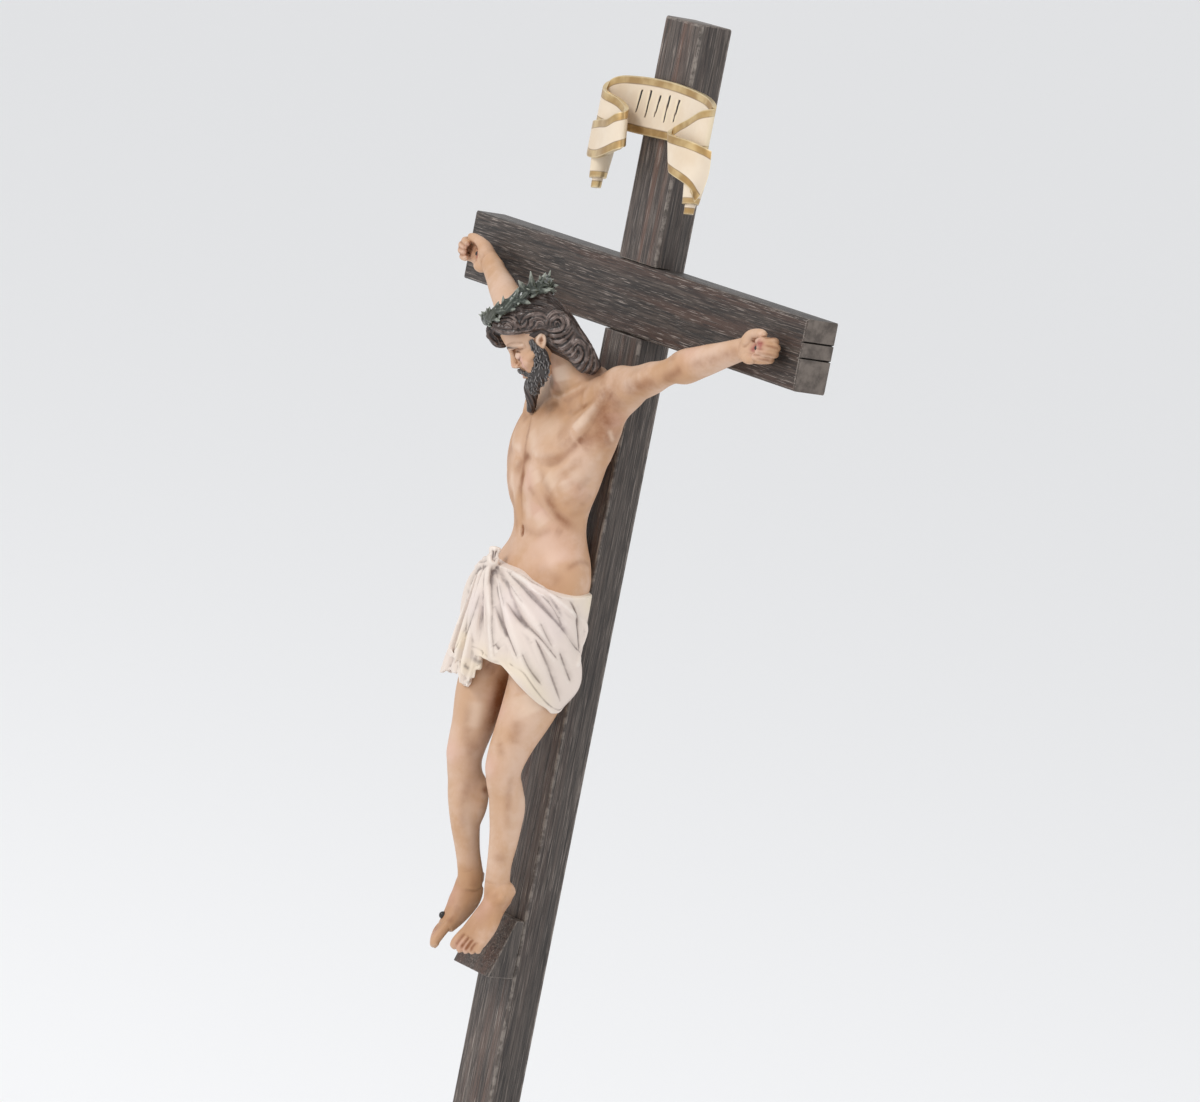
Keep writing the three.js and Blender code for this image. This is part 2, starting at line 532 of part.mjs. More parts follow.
function buildCrown() {
  const rings = Array.from({ length: CROWN_STEPS }, (_, k) => {
    const turn = (k / CROWN_STEPS) * 2 * Math.PI;
    const twist = turn * CROWN_TWISTS;
    return Array.from({ length: CROWN_SIDES }, (__, j) => {
      const angle = (j / CROWN_SIDES) * 2 * Math.PI;
      const [a, b] = [CROWN_SECTION[0] * Math.cos(angle), CROWN_SECTION[1] * Math.sin(angle)];
      const lift = a * Math.sin(twist) + b * Math.cos(twist);
      const outward = a * Math.cos(twist) - b * Math.sin(twist);
      return vector(inHead(crownPlace(turn, lift, outward)));
    });
  });
  const thorns = Array.from({ length: THORNS }, (_, k) => {
    const turn = ((k + 0.3) / THORNS) * 2 * Math.PI;
    const rise = [4.4, -1, 5.6][k % 3];
    const outward = 4.2 - 1.6 * Math.cos(turn);
    const lean = 0.13 * (k % 2 ? 1 : -1);
    const from = inHead(crownPlace(turn, rise * 0.2, 0.6));
    const to = inHead(crownPlace(turn + lean, rise, outward));
    return limb([[...from, 1.7, 1.7], [...to, 0.2, 0.2]], { sides: 3, steps: 1, dome: 0.2 });
  });
  return [closedRing(rings), ...thorns];
}

// A skin over rings that close on themselves, as on a hoop
function closedRing(rings) {
  const sides = rings[0].length;
  const faces = [];
  rings.forEach((_, ring) => {
    const a = ring * sides;
    const b = ((ring + 1) % rings.length) * sides;
    for (let i = 0; i < sides; i += 1) {
      const next = (i + 1) % sides;
      faces.push(a + i, a + next, b + next, a + i, b + next, b + i);
    }
  });
  const geometry = new THREE.BufferGeometry();
  const numbers = rings.flat().flatMap((p) => p.toArray());
  geometry.setAttribute('position', new THREE.Float32BufferAttribute(numbers, 3));
  geometry.setIndex(faces);
  const solid = toSolid(geometry);
  return solid.volume() < 0 ? toSolid(turnedInsideOut(geometry)) : solid;
}

// Loincloth: a wrap whose folds all run to a knot in front of the far hip.
// Stations are [x, y, z, half width, half depth], and SQUARE flattens the wrap's front and back.
const KNOT = [-6, -51.5, -116];
const WRAP_SQUARE = 2.6;
const WRAP = [
  [0, -32.2, -116, 29.8, 17.4], [0, -32.8, -122, 30.8, 18], [0, -33.2, -131, 31.4, 18.6],
  [0, -33.4, -141, 31.2, 18.8], [0.5, -33.8, -150, 29.4, 18.2], [0.6, -34.6, -158.5, 25.2, 16.6],
];
const FOLD_HEIGHT = 2;
const FOLDS = 5;
const OVERLAP = 1.1;

// How far a point of the wrap is moved down, by its angle round the body: share is 0 at the top edge.
// The lower edge hangs highest between the legs and lowest behind the near thigh.
function wrapDrop(angle, share) {
  const topDip = 5.5 * step(angle, 0.1, 1) - 1.5 * step(angle, 1.3, 2.2) + 3 * step(-angle, 0.8, 2);
  const slope = THREE.MathUtils.clamp((angle - 0.5) / 1.3, 0, 1);
  const toNear = -4.6 + 15.8 * slope - 6 * step(angle, 2, 3.1);
  const farRise = 5.6 * step(-angle, 0.6, 1.4) + 5 * step(-angle, 2.2, 3.1);
  const toFar = -4.6 - 2 * bump(angle + 0.45, 0.3) + farRise;
  return topDip * (1 - share) + (angle > 0 ? toNear : toFar) * share;
}

// Folds fan out from the knot, and the cloth they lie in overlaps the smooth piece at the near hip
function foldHeight(point, angle, share) {
  const around = (angle + 0.22) * 27;
  const down = Math.max(KNOT[2] - point.z + 5, 0.5);
  const direction = Math.atan2(around, down) / (Math.PI / 2);
  const folds = around > 0 ? FOLDS : FOLDS / 2;
  const reach = Math.hypot(around, down);
  const overlapEdge = -120 - 20 * Math.max(angle - 0.9, 0) ** 1.3;
  const overlap = step(overlapEdge - point.z, -1, 2) * (1 - step(Math.abs(angle), 2.2, 2.5));
  const strength = step(reach, 3, 18) * (1 - 0.6 * step(share, 0.92, 1)) * overlap;
  return OVERLAP * overlap + strength * FOLD_HEIGHT * Math.sin(direction * folds * 2 * Math.PI + 1.2);
}

function buildWrap() {
  const sides = 37;
  const rows = smooth(WRAP, 2);
  const power = 2 / WRAP_SQUARE;
  const squared = (value) => Math.sign(value) * Math.abs(value) ** power;
  const rings = rows.map((row, i) => {
    const share = i / (rows.length - 1);
    return Array.from({ length: sides }, (_, k) => {
      const turn = (2 * Math.PI * k) / sides - Math.PI;
      const angle = turn - 0.24 * Math.sin(turn);
      const direction = new THREE.Vector3(Math.sin(angle), -Math.cos(angle), 0);
      const point = new THREE.Vector3(
        row[0] + row[3] * squared(direction.x),
        row[1] + row[4] * squared(direction.y),
        row[2] - wrapDrop(angle, share),
      );
      return point.addScaledVector(direction, foldHeight(point, angle, share));
    });
  });
  const last = rows[rows.length - 1];
  return skin(rings, vector([0, -32.5, -114]), vector([last[0], last[1], last[2] + 6]));
}

// The knot with the cloth's end above it, the loops at its far side, and the fold that hangs from it
function buildKnot() {
  const end = limb([
    [-5.4, -50.6, -115, 3, 3], [-5.6, -50.6, -112.6, 1.9, 1.9], [-5.8, -50.8, -110.2, 3, 2.6],
  ], { sides: 6, steps: 1 });
  const knot = ball(KNOT, [4, 3.4, 4.2], { detail: 6 });
  const loops = [0, 1].map((i) => limb([
    [KNOT[0], KNOT[1], KNOT[2] - i * 1.5, 2.2, 2], [-13 - i, -52 + i, -118 - i * 3, 2.8, 2.2],
    [-20 - i, -48 + i, -124.5 - i * 3, 3, 2.4], [-23, -42.5, -134, 2.4, 2],
  ], { sides: 5, steps: 1 }));
  const hangingFold = limb([
    [KNOT[0], KNOT[1], KNOT[2], 2.4, 2], [-6.4, -53, -128, 2.8, 2.4],
    [-6, -53.4, -141, 2.8, 2.2], [-3.4, -50.6, -151, 2, 1.6],
  ], { sides: 5, steps: 1 });
  return [end, knot, ...loops, hangingFold];
}

// Tail stations [x, y, z, half width, half depth]: the hem at its end falls in steps, one for each box pleat
const TAIL = [
  [-10, -50, -120, 4, 2.4], [-12.5, -50.4, -136, 6.4, 2.4],
  [-13, -51.4, -152, 9.6, 2.4], [-12.6, -52.4, -166, 11.4, 2.4],
];
const TAIL_PLEATS = 3;
const PLEAT_DEPTH = 1.7;
const HEM_STEP = 3.2;

function buildTail() {
  const sides = 16;
  const rows = smooth(TAIL, 2);
  const rings = rows.map(([x, y, z, width, depth], i) => Array.from({ length: sides }, (_, k) => {
    const share = i / (rows.length - 1);
    const angle = (2 * Math.PI * k) / sides;
    const across = Math.cos(angle);
    const pleat = PLEAT_DEPTH * share * Math.sin(across * TAIL_PLEATS * Math.PI);
    const hem = HEM_STEP * share ** 2 * Math.sin(across * TAIL_PLEATS * Math.PI + 1.2);
    const ahead = y - across * share + depth * Math.sin(angle) + pleat;
    return new THREE.Vector3(x + width * across, ahead, z - (2 + 3 * share) * across - hem);
  }));
  const [first, last] = [rows[0], rows[rows.length - 1]];
  return skin(rings, vector([first[0], first[1], first[2] + 1]), vector([last[0], last[1], last[2] + 2]));
}

// The back of the figure is cast flat where it lies against the cross
function buildCorpus() {
  const figure = join([
    buildTorso(), buildNeck(), ...buildFace(), ...buildBeard(), ...buildHair(), ...buildCrown(),
    ...[-1, 1].flatMap((side) => [...buildArm(side), ...buildHand(side)]),
    buildLeg(NEAR_LEG), ...buildFoot(NEAR_LEG, NEAR_FOOT, 1),
    buildLeg(FAR_LEG), ...buildFoot(FAR_LEG, FAR_FOOT, -1),
    buildWrap(), ...buildKnot(), buildTail(),
  ]);
  const reach = CROSSBEAM_LENGTH * 2;
  return figure.subtract(block([reach, BEAM_DEPTH, reach * 2], [0, -BEAM_DEPTH / 2 - GAP, 0]));
}

// Finishes
const darkWood = new THREE.MeshStandardMaterial({ color: 0x4a3f3a, roughness: 0.75, metalness: 0 });
const paintedSkin = new THREE.MeshStandardMaterial({ color: 0xd2a98a, roughness: 0.55, metalness: 0 });
const creamAndGold = new THREE.MeshStandardMaterial({ color: 0xe8d6b4, roughness: 0.5, metalness: 0.1 });

const group = new THREE.Group();
const pieces = [
  ['upright', buildUpright(), darkWood],
  ['crossbeam', buildCrossbeam(), darkWood],
  ['footrest', buildFootrest(), darkWood],
  ['title_scroll', buildScroll(), creamAndGold],
  ['corpus', buildCorpus(), paintedSkin],
];
for (const [name, solid, material] of pieces) {
  const mesh = new THREE.Mesh(toGeometry(solid), material);
  mesh.name = name;
  group.add(mesh);
}

export default group;
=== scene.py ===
# %% [markdown]
# # Wall crucifix
# This lesson dresses a wall crucifix: a dark wood-grained cross, and on it a cast and painted figure, a
# footrest and a title scroll. The solid model of the same object is loaded first. It is the frame that every
# finished piece must fit, so each piece is made in its place and in its size.

# %% Load the solid model
import json
import math
import bpy
import numpy as np
from mathutils import Matrix, Vector

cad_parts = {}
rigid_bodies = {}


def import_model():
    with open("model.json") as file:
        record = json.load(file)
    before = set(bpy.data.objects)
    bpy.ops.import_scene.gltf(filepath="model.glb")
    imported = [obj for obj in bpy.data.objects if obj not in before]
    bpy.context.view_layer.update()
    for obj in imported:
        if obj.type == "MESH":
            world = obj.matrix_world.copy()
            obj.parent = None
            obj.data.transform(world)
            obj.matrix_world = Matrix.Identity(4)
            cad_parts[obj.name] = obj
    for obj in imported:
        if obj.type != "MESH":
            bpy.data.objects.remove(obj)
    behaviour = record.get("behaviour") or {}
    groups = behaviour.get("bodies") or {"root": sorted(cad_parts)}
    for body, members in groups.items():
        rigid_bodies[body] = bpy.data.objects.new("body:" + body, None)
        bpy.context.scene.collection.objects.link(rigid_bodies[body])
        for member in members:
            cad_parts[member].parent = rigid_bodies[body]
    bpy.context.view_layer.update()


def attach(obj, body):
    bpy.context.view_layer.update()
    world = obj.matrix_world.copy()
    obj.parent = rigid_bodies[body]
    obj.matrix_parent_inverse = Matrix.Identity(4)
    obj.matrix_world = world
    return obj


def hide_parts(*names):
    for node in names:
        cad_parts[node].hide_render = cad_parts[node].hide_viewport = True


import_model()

# %% [markdown]
# The camera looks from the right of the front, a little from above, through a long lens. Its roll is part of
# the view, since the object hangs a little askew in it. The three directions below are its right, its down
# and the way it looks.

# %% Camera
camera_data = bpy.data.cameras.new("camera")
camera_data.sensor_width = 36
camera_data.lens = 226.54
camera_data.clip_end = 100
camera = bpy.data.objects.new("camera", camera_data)
bpy.context.scene.collection.objects.link(camera)
CAMERA_PLACE = Vector((2.60299, -1.63043, 0.24935))
CAMERA_RIGHT = Vector((0.50075, 0.8439, 0.19254))
CAMERA_DOWN = Vector((0.19804, 0.10484, -0.97457))
CAMERA_AHEAD = Vector((-0.84263, 0.52615, -0.11463))
turn = Matrix((CAMERA_RIGHT, -CAMERA_DOWN, -CAMERA_AHEAD)).transposed()
camera.matrix_world = Matrix.Translation(CAMERA_PLACE) @ turn.to_4x4()
bpy.context.scene.camera = camera
print("camera is", round(CAMERA_PLACE.length, 3), "m from the crossing")

# %% [markdown]
# ## Helpers
# A carved figure is blocked out first and cut finely afterwards. The block-out here uses one simple trick: a
# UV sphere already has rings and two closed poles, so moving its rings on to the stations of an arm, a leg
# or a lock of hair gives a closed limb with round ends. Limbs are then joined, fused by a voxel remesh, and
# smoothed.

# %% Small helpers
MM = 0.001
FRONT = np.array([0.0, -1.0, 0.0])


def deselect():
    bpy.ops.object.select_all(action="DESELECT")


def select_only(obj):
    deselect()
    obj.select_set(True)
    bpy.context.view_layer.objects.active = obj


def shade_smooth(obj):
    select_only(obj)
    bpy.ops.object.shade_smooth()


def unit(v):
    return v / (np.linalg.norm(v, axis=-1, keepdims=True) + 1e-12)


def points_of(obj):
    flat = np.empty(len(obj.data.vertices) * 3)
    obj.data.vertices.foreach_get("co", flat)
    return flat.reshape(-1, 3) / MM


def set_points(obj, points):
    obj.data.vertices.foreach_set("co", (np.asarray(points) * MM).ravel())
    obj.data.update()


def normals_of(obj):
    flat = np.empty(len(obj.data.vertices) * 3, np.float32)
    obj.data.vertices.foreach_get("normal", flat)
    return flat.reshape(-1, 3).astype(float)


def ramp(value, low, high):
    t = np.clip((np.asarray(value, float) - low) / (high - low), 0, 1)
    return t * t * (3 - 2 * t)


def bump(distance, width):
    return np.exp(-((np.asarray(distance, float) / width) ** 2))


def mirrored(place, side):
    return [side * place[0], *place[1:]]


def mirrored_all(rows, side):
    return [mirrored(row, side) for row in rows]


def between(a, b, share):
    return [p + (q - p) * share for p, q in zip(a, b)]


# %% A smooth run of rows through given rows
def smooth_rows(rows, steps):
    rows = np.asarray(rows, float)
    padded = np.vstack([rows[:1], rows, rows[-1:]])
    out = []
    for i in range(len(rows) - 1):
        a, b, c, d = padded[i:i + 4]
        for t in np.arange(steps) / steps:
            bend = (c - a) * t + (2 * a - 5 * b + 4 * c - d) * t ** 2 + (3 * b - a - 3 * c + d) * t ** 3
            out.append(b + 0.5 * bend)
    out.append(rows[-1])
    return np.array(out)


# %% A sphere whose rings can be moved, and a limb made of it
def ringed_sphere(sides, count, name):
    """A sphere of count rings, its points as they start, the ring of each, and the ring nearest to it."""
    deselect()
    bpy.ops.mesh.primitive_uv_sphere_add(segments=sides, ring_count=count + 1, radius=1)
    obj = bpy.context.object
    obj.name = name
    start = points_of(obj) * MM
    ring = np.rint(np.arccos(np.clip(start[:, 2], -1, 1)) / math.pi * (count + 1)).astype(int) - 1
    return obj, start, ring, np.clip(ring, 0, count - 1)


def limb(stations, sides=24, steps=4, facing=FRONT, dome=0.6, relief=None, name="limb"):
    """Stations are [x, y, z, half width, half depth], in millimetres."""
    rows = smooth_rows(stations, steps) if steps > 1 else np.asarray(stations, float)
    count = len(rows)
    obj, start, ring, k = ringed_sphere(sides, count, name)
    angle = np.arctan2(start[:, 0], start[:, 1])
    places = rows[:, :3]
    along = unit(np.gradient(places, axis=0))
    side = unit(np.cross(along, np.asarray(facing, float)))
    ahead = unit(np.cross(side, along))
    local = side[k] * (rows[k, 3] * np.sin(angle))[:, None] + ahead[k] * (rows[k, 4] * np.cos(angle))[:,
            None]
    result = places[k] + local
    if relief is not None:
        result += unit(local) * relief(result, angle, k / (count - 1))[:, None]
    for pole, end, sign in ((ring < 0, 0, -1), (ring >= count, count - 1, 1)):
        result[pole] = places[end] + sign * along[end] * dome * min(rows[end, 3], rows[end, 4])
    set_points(obj, result)
    return obj


# %% A ball with its own half sizes and turn, for muscles, the skull and heels
def ball(place, half_sizes, turn=None, detail=24, name="ball"):
    deselect()
    bpy.ops.mesh.primitive_uv_sphere_add(segments=detail, ring_count=detail // 2, radius=1)
    obj = bpy.context.object
    obj.name = name
    points = points_of(obj) * MM * np.asarray(half_sizes, float)
    if turn is not None:
        points = points @ np.asarray(turn, float).T
    set_points(obj, points + np.asarray(place, float))
    return obj


def turned(x=0, y=0, z=0):
    matrix = Matrix.Rotation(math.radians(z), 3, "Z") @ Matrix.Rotation(math.radians(x), 3, "X")
    return np.array(matrix @ Matrix.Rotation(math.radians(y), 3, "Y"))


# %% Join pieces, fuse them with a voxel remesh, and smooth the seams
def apply_modifier(obj, kind, **settings):
    modifier = obj.modifiers.new(kind.lower(), kind)
    for key, value in settings.items():
        setattr(modifier, key, value)
    select_only(obj)
    bpy.ops.object.modifier_apply(modifier=modifier.name)


def joined(name, parts):
    deselect()
    for part in parts:
        part.select_set(True)
    bpy.context.view_layer.objects.active = parts[0]
    bpy.ops.object.join()
    obj = bpy.context.object
    bpy.ops.object.transform_apply(location=True, rotation=True, scale=True)
    obj.name = obj.data.name = name
    return obj


def outward(obj):
    select_only(obj)
    bpy.ops.object.mode_set(mode="EDIT")
    bpy.ops.mesh.select_all(action="SELECT")
    bpy.ops.mesh.normals_make_consistent(inside=False)
    bpy.ops.object.mode_set(mode="OBJECT")


def fused(name, parts, voxel, soften=6, factor=0.5):
    for part in parts:
        outward(part)
    obj = joined(name, parts)
    apply_modifier(obj, "REMESH", mode="VOXEL", voxel_size=voxel * MM, adaptivity=0)
    if soften:
        apply_modifier(obj, "SMOOTH", factor=factor, iterations=soften)
    shade_smooth(obj)
    return obj


def triangles(obj):
    return sum(len(p.vertices) - 2 for p in obj.data.polygons)


# %% [markdown]
# ## Sculpting in code
# A carver's gouge follows a line. `cut` moves the points near a line in or out along their normals, with a
# soft edge, so a groove, a vein, a fold or a strand is one line with a width and a height.

# %% Carving along a line
def distance_to_line(points, line):
    line = np.asarray(line, float)
    best = np.full(len(points), 1e9)
    share = np.zeros(len(points))
    for i in range(len(line) - 1):
        a, b = line[i], line[i + 1]
        ab = b - a
        t = np.clip(((points - a) @ ab) / (ab @ ab + 1e-12), 0, 1)
        d = np.linalg.norm(points - (a + t[:, None] * ab), axis=1)
        closer = d < best
        best[closer] = d[closer]
        share[closer] = ((i + t) / (len(line) - 1))[closer]
    return best, share


def cut(points, normals, line, width, height, taper=True, steps=6):
    line = smooth_rows(line, steps)
    low, high = line.min(0) - 3 * width, line.max(0) + 3 * width
    near = np.where(np.all((points > low) & (points < high), axis=1))[0]
    if not len(near):
        return points
    distance, share = distance_to_line(points[near], line)
    strength = bump(distance, width) * height
    if taper:
        strength *= np.sin(np.pi * np.clip(share, 0.02, 0.98)) ** 0.5
    points[near] += normals[near] * strength[:, None]
    return points


def edges_of(obj):
    edges = np.empty(len(obj.data.edges) * 2, np.int32)
    obj.data.edges.foreach_get("vertices", edges)
    return edges.reshape(-1, 2)


def smoothed(points, edges, times):
    count = np.bincount(edges.ravel(), minlength=len(points))[:, None] + 1e-9
    for _ in range(times):
        total = np.column_stack([
            np.bincount(edges[:, 0], points[edges[:, 1], i], minlength=len(points))
            + np.bincount(edges[:, 1], points[edges[:, 0], i], minlength=len(points)) for i in range(3)
        ])
        points = points * 0.3 + total / count * 0.7
    return points


def soften_near(obj, spots, times):
    """Smooth a piece only round the spots [x, y, z, radius], where one muscle runs into the next."""
    points = points_of(obj)
    soft = smoothed(points, edges_of(obj), times)
    mask = np.zeros(len(points))
    for x, y, z, radius in spots:
        mask = np.maximum(mask, bump(np.linalg.norm(points - [x, y, z], axis=1), radius))
    set_points(obj, points + (soft - points) * mask[:, None])


def put_attribute(obj, name, values):
    layer = obj.data.attributes.get(name) or obj.data.attributes.new(name, "FLOAT", "POINT")
    layer.data.foreach_set("value", np.asarray(values, np.float32))


def painted_along(points, strokes):
    """How much paint lies on each point, for strokes of (line, width, strength)."""
    paint = np.zeros(len(points))
    for line, width, strength in strokes:
        if not len(line):
            continue
        line = smooth_rows(line, 4) if len(line) > 1 else np.asarray(line, float)
        low, high = line.min(0) - 3 * width, line.max(0) + 3 * width
        near = np.where(np.all((points > low) & (points < high), axis=1))[0]
        if len(near):
            if len(line) > 1:
                d, share = distance_to_line(points[near], line)
                fade = 0.3 + 0.7 * np.clip(np.minimum(share, 1 - share) * 5, 0, 1)
            else:
                d, fade = np.linalg.norm(points[near] - line[0], axis=1), 1
            paint[near] = np.maximum(paint[near], strength * fade * bump(d, width))
    return paint
def paint_on(obj, name, points, strokes):
    put_attribute(obj, "painted_" + name, painted_along(points, strokes))

# %% Where a line that is seen in the picture meets a piece
from mathutils.bvhtree import BVHTree

PICTURE_WIDTH, PICTURE_HEIGHT = 1200, 1102
PIXELS_PER_UNIT = camera_data.lens / camera_data.sensor_width * PICTURE_WIDTH


def tree_of(obj):
    places = [v.co / MM for v in obj.data.vertices]
    return BVHTree.FromPolygons(places, [list(p.vertices) for p in obj.data.polygons])


def seen(tree, u, v):
    across, down = (u - PICTURE_WIDTH / 2) / PIXELS_PER_UNIT, (v - PICTURE_HEIGHT / 2) / PIXELS_PER_UNIT
    way = (CAMERA_AHEAD + CAMERA_RIGHT * across + CAMERA_DOWN * down).normalized()
    hit = tree.ray_cast(CAMERA_PLACE / MM, way)[0]
    return None if hit is None else np.array(hit)


def seen_line(tree, pixels):
    hits = [seen(tree, u, v) for u, v in pixels]
    return np.array([h for h in hits if h is not None]).reshape(-1, 3)
def seen_strokes(tree, strokes):
    return [(seen_line(tree, pixels), width, strength) for pixels, width, strength in strokes]
def around(tree, u, v, reach=5):
    """The middle of what is seen round one spot, for a spot that lies in a pit."""
    spots = [[u + a, v + b] for a in (-reach, reach) for b in (-reach, reach)]
    return np.median(seen_line(tree, spots), axis=0)


def on_surface(tree, line):
    return np.array([tree.find_nearest(Vector(place))[0] for place in line]).reshape(-1, 3)


def both_sides(tree, pixels):
    """A line seen on the near side, and the same line on the far side."""
    near = seen_line(tree, pixels)
    return [near, on_surface(tree, near * [-1, 1, 1])] if len(near) > 1 else []


# %% [markdown]
# ## Body
# The body is a casting, so it is one skin: torso, neck, arms and legs run into each other. Hands, feet and
# head carry finer carving and are made as pieces of their own with a finer mesh. The front of the torso is
# worked out from simple rules: a breast on each side of the breastbone, the rib arch, the belly and the hip
# bones.

# %% Torso
TORSO = [
    [0, -30, -31, 14, 8.4], [0, -28.6, -36, 21, 10], [0, -27.6, -43, 27.6, 11.4],
    [0, -27.4, -50, 30.6, 12.4],
    [0, -29.2, -56, 32, 13.2], [0, -31.2, -62, 32, 14.4], [0, -32.4, -68, 31, 14.8],
    [0, -32.8, -74, 29.2, 15],
    [0, -32.9, -80, 26.8, 14.8], [0, -32.6, -86, 24, 13.8], [0, -32, -92, 21.8, 12.6],
    [0, -31, -98, 21.2, 12.2],
    [0, -29.9, -104, 22.4, 13.2], [0, -29.2, -110, 25.4, 14.6], [0, -29.6, -117, 27.6, 16],
    [0, -31.4, -126, 27.8, 16.4], [0, -32.4, -137, 27, 16.4], [0, -32.4, -148, 24, 15],
]


def torso_middle(z):
    """The chest leans a little over to the far side."""
    return np.interp(z, [-96, -78, -60, -48, -36], [0, -1.4, -2.8, -2.2, -0.6])


def torso_relief(points, angle, share):
    facing = np.maximum(np.cos(angle), 0) ** 0.6
    z = points[:, 2]
    x = np.abs(points[:, 0] - torso_middle(z))
    above_edge = z - (-73 + 0.0012 * x ** 3)
    breast = 2.0 * ramp(above_edge, -5, 7) * (1 - ramp(above_edge, 10, 34)) * ramp(x, -3, 11)
    rib_cage = 1.1 * ramp(z + 80.5 + 0.75 * x, -5, 5) * (1 - ramp(z, -70, -58)) * ramp(x, -1, 8)
    belly = 1.4 * bump(x, 12) * bump(z + 108, 9)
    rectus = 0.6 * bump(x - 6, 4.5) * ramp(z, -120, -100) * (1 - ramp(z, -84, -78))
    hip_bone = 1.5 * bump(x - 20, 6) * bump(z + 113, 7)
    return facing * (breast + rib_cage + belly + rectus + hip_bone - 0.8)


torso_rows = [[row[0] + float(torso_middle(row[2])), *row[1:]] for row in TORSO]
torso = limb(torso_rows, sides=72, steps=4, dome=0.3, relief=torso_relief, name="torso")
NECK = [
    [0, -30, -40, 12.5, 9], [-0.8, -34.6, -34, 9, 8], [-2.2, -39.6, -29, 7.2, 7.2],
    [-4.5, -47.6, -21, 6.6, 7.4],
]
neck = limb(NECK, sides=32, name="neck")
print("torso points:", len(torso.data.vertices))

# %% [markdown]
# The arms are drawn out by the body's weight, so the muscles over the shoulder are long and flat, and a
# tight fold runs from the arm to the breast, with the hollow of the armpit behind it.

# %% Arms: rows of (share of the way, half width, half depth), and the muscles of the near arm
SHOULDER, ELBOW, WRIST = [26, -28.5, -36], [63, -28, -20.7], [102.4, -21.4, -3.8]
ARM_START, ARM_END = [15, -29, -41, 8, 8], [106, -20.9, -2.8, 4.4, 3.4]
UPPER_ARM = [(0, 8.8, 9), (0.3, 7.8, 7.6), (0.6, 7.2, 7), (0.85, 6.2, 6)]
FOREARM = [(0.02, 5.8, 5.8), (0.2, 7.5, 7), (0.42, 6.9, 6.4), (0.72, 5.4, 4.9), (1, 4.7, 3.9)]
ARM_MUSCLES = dict(
    cap=[[20, -28.6, -31.5, 4, 4], [29, -29.5, -29.6, 5.6, 6.2], [42, -29.5, -26.6, 3.6, 4.4]],
    biceps=[[34, -31.4, -33.4, 3.2, 3], [46, -32, -28.6, 4.8, 4.4], [57, -30.4, -23.6, 3, 3]],
    breast_fold=[[41, -30, -31.6, 3, 3], [34, -31.8, -35.6, 3.2, 3], [28.5, -33.4, -42, 4.2, 3.4],
                 [22.5, -36.6, -50, 5.6, 3.6], [15, -40.2, -58, 5.5, 3]],
    back_fold=[[40, -25.6, -33.5, 3.4, 4.2], [32, -26, -45, 3.2, 4], [28, -27, -58, 2.4, 4],
               [25, -28.4, -70, 1.6, 3]],
)


def make_arm(side):
    stations = [ARM_START]
    for start, end, rows in ((SHOULDER, ELBOW, UPPER_ARM), (ELBOW, WRIST, FOREARM)):
        stations += [[*between(start, end, share), width, depth] for share, width, depth in rows]
    arm = limb(mirrored_all([*stations, ARM_END], side), sides=36)
    shoulder = ball(mirrored([26, -29, -35.4], side), [9.6, 9.2, 8], detail=32)
    return [arm, shoulder, *[limb(mirrored_all(rows, side), sides=20) for rows in ARM_MUSCLES.values()]]


arms = make_arm(1) + make_arm(-1)
print("arm pieces:", len(arms))

# %% [markdown]
# The near leg hangs a little further back than the far one, as it does on the object, so the two are not
# mirrored. A leg is a limb of its own rows, with a knee cap in front and a calf behind.

# %% Legs
NEAR_LEG = [
    [13, -31, -140, 13, 14.5], [13.5, -30, -158, 12.4, 13], [13.5, -32.5, -171, 10.8, 11.4],
    [13.4, -36.4, -184, 8.8, 9.2], [13.2, -38.4, -193, 7.8, 8.2], [13, -37.9, -200, 7.1, 7.4],
    [12.8, -34.7, -206.5, 7.1, 7.4], [12.6, -32.6, -214, 7.2, 7.4], [12.2, -31.2, -224, 6.2, 6.4],
    [11.5, -30.6, -236, 4.9, 5.2], [11, -29.4, -245, 4.8, 5.3], [11, -28.6, -251, 4.4, 4.6],
]
FAR_LEG = [
    [-13, -33, -140, 13, 14.5], [-13, -37, -158, 12.2, 12.6], [-13, -39.6, -171, 10.8, 11],
    [-13, -40.8, -184, 8.8, 9], [-13, -42, -193, 7.8, 8.2], [-12.9, -41.7, -200, 7.1, 7.4],
    [-12.8, -39.6, -206.5, 7.1, 7.4], [-12.5, -38.2, -214, 7.2, 7.4], [-12, -36.2, -224, 6.2, 6.4],
    [-11.2, -32.8, -236, 4.9, 5.2], [-10.4, -30, -245, 4.8, 5.3], [-10.4, -29, -251, 4.4, 4.6],
]
legs = [limb(NEAR_LEG, sides=40, steps=4, name="leg"), limb(FAR_LEG, sides=40, steps=4, name="leg")]
knee_caps = [
    ball([13.1, -44.6, -196], [4.2, 2.6, 5], detail=20),
    ball([-12.9, -48.4, -196], [4.2, 2.6, 5], detail=20),
]
calves = [
    ball([12.4, -29.6, -214], [6.6, 5, 11], detail=20),
    ball([-10.4, -34, -215], [6.6, 5.4, 12], detail=20),
]

# %% [markdown]
# The parts of the body are fused to one skin. Where muscles meet, the skin is then smoothed much more than
# elsewhere, as a caster rubs a seam. The back lies flat against the cross.

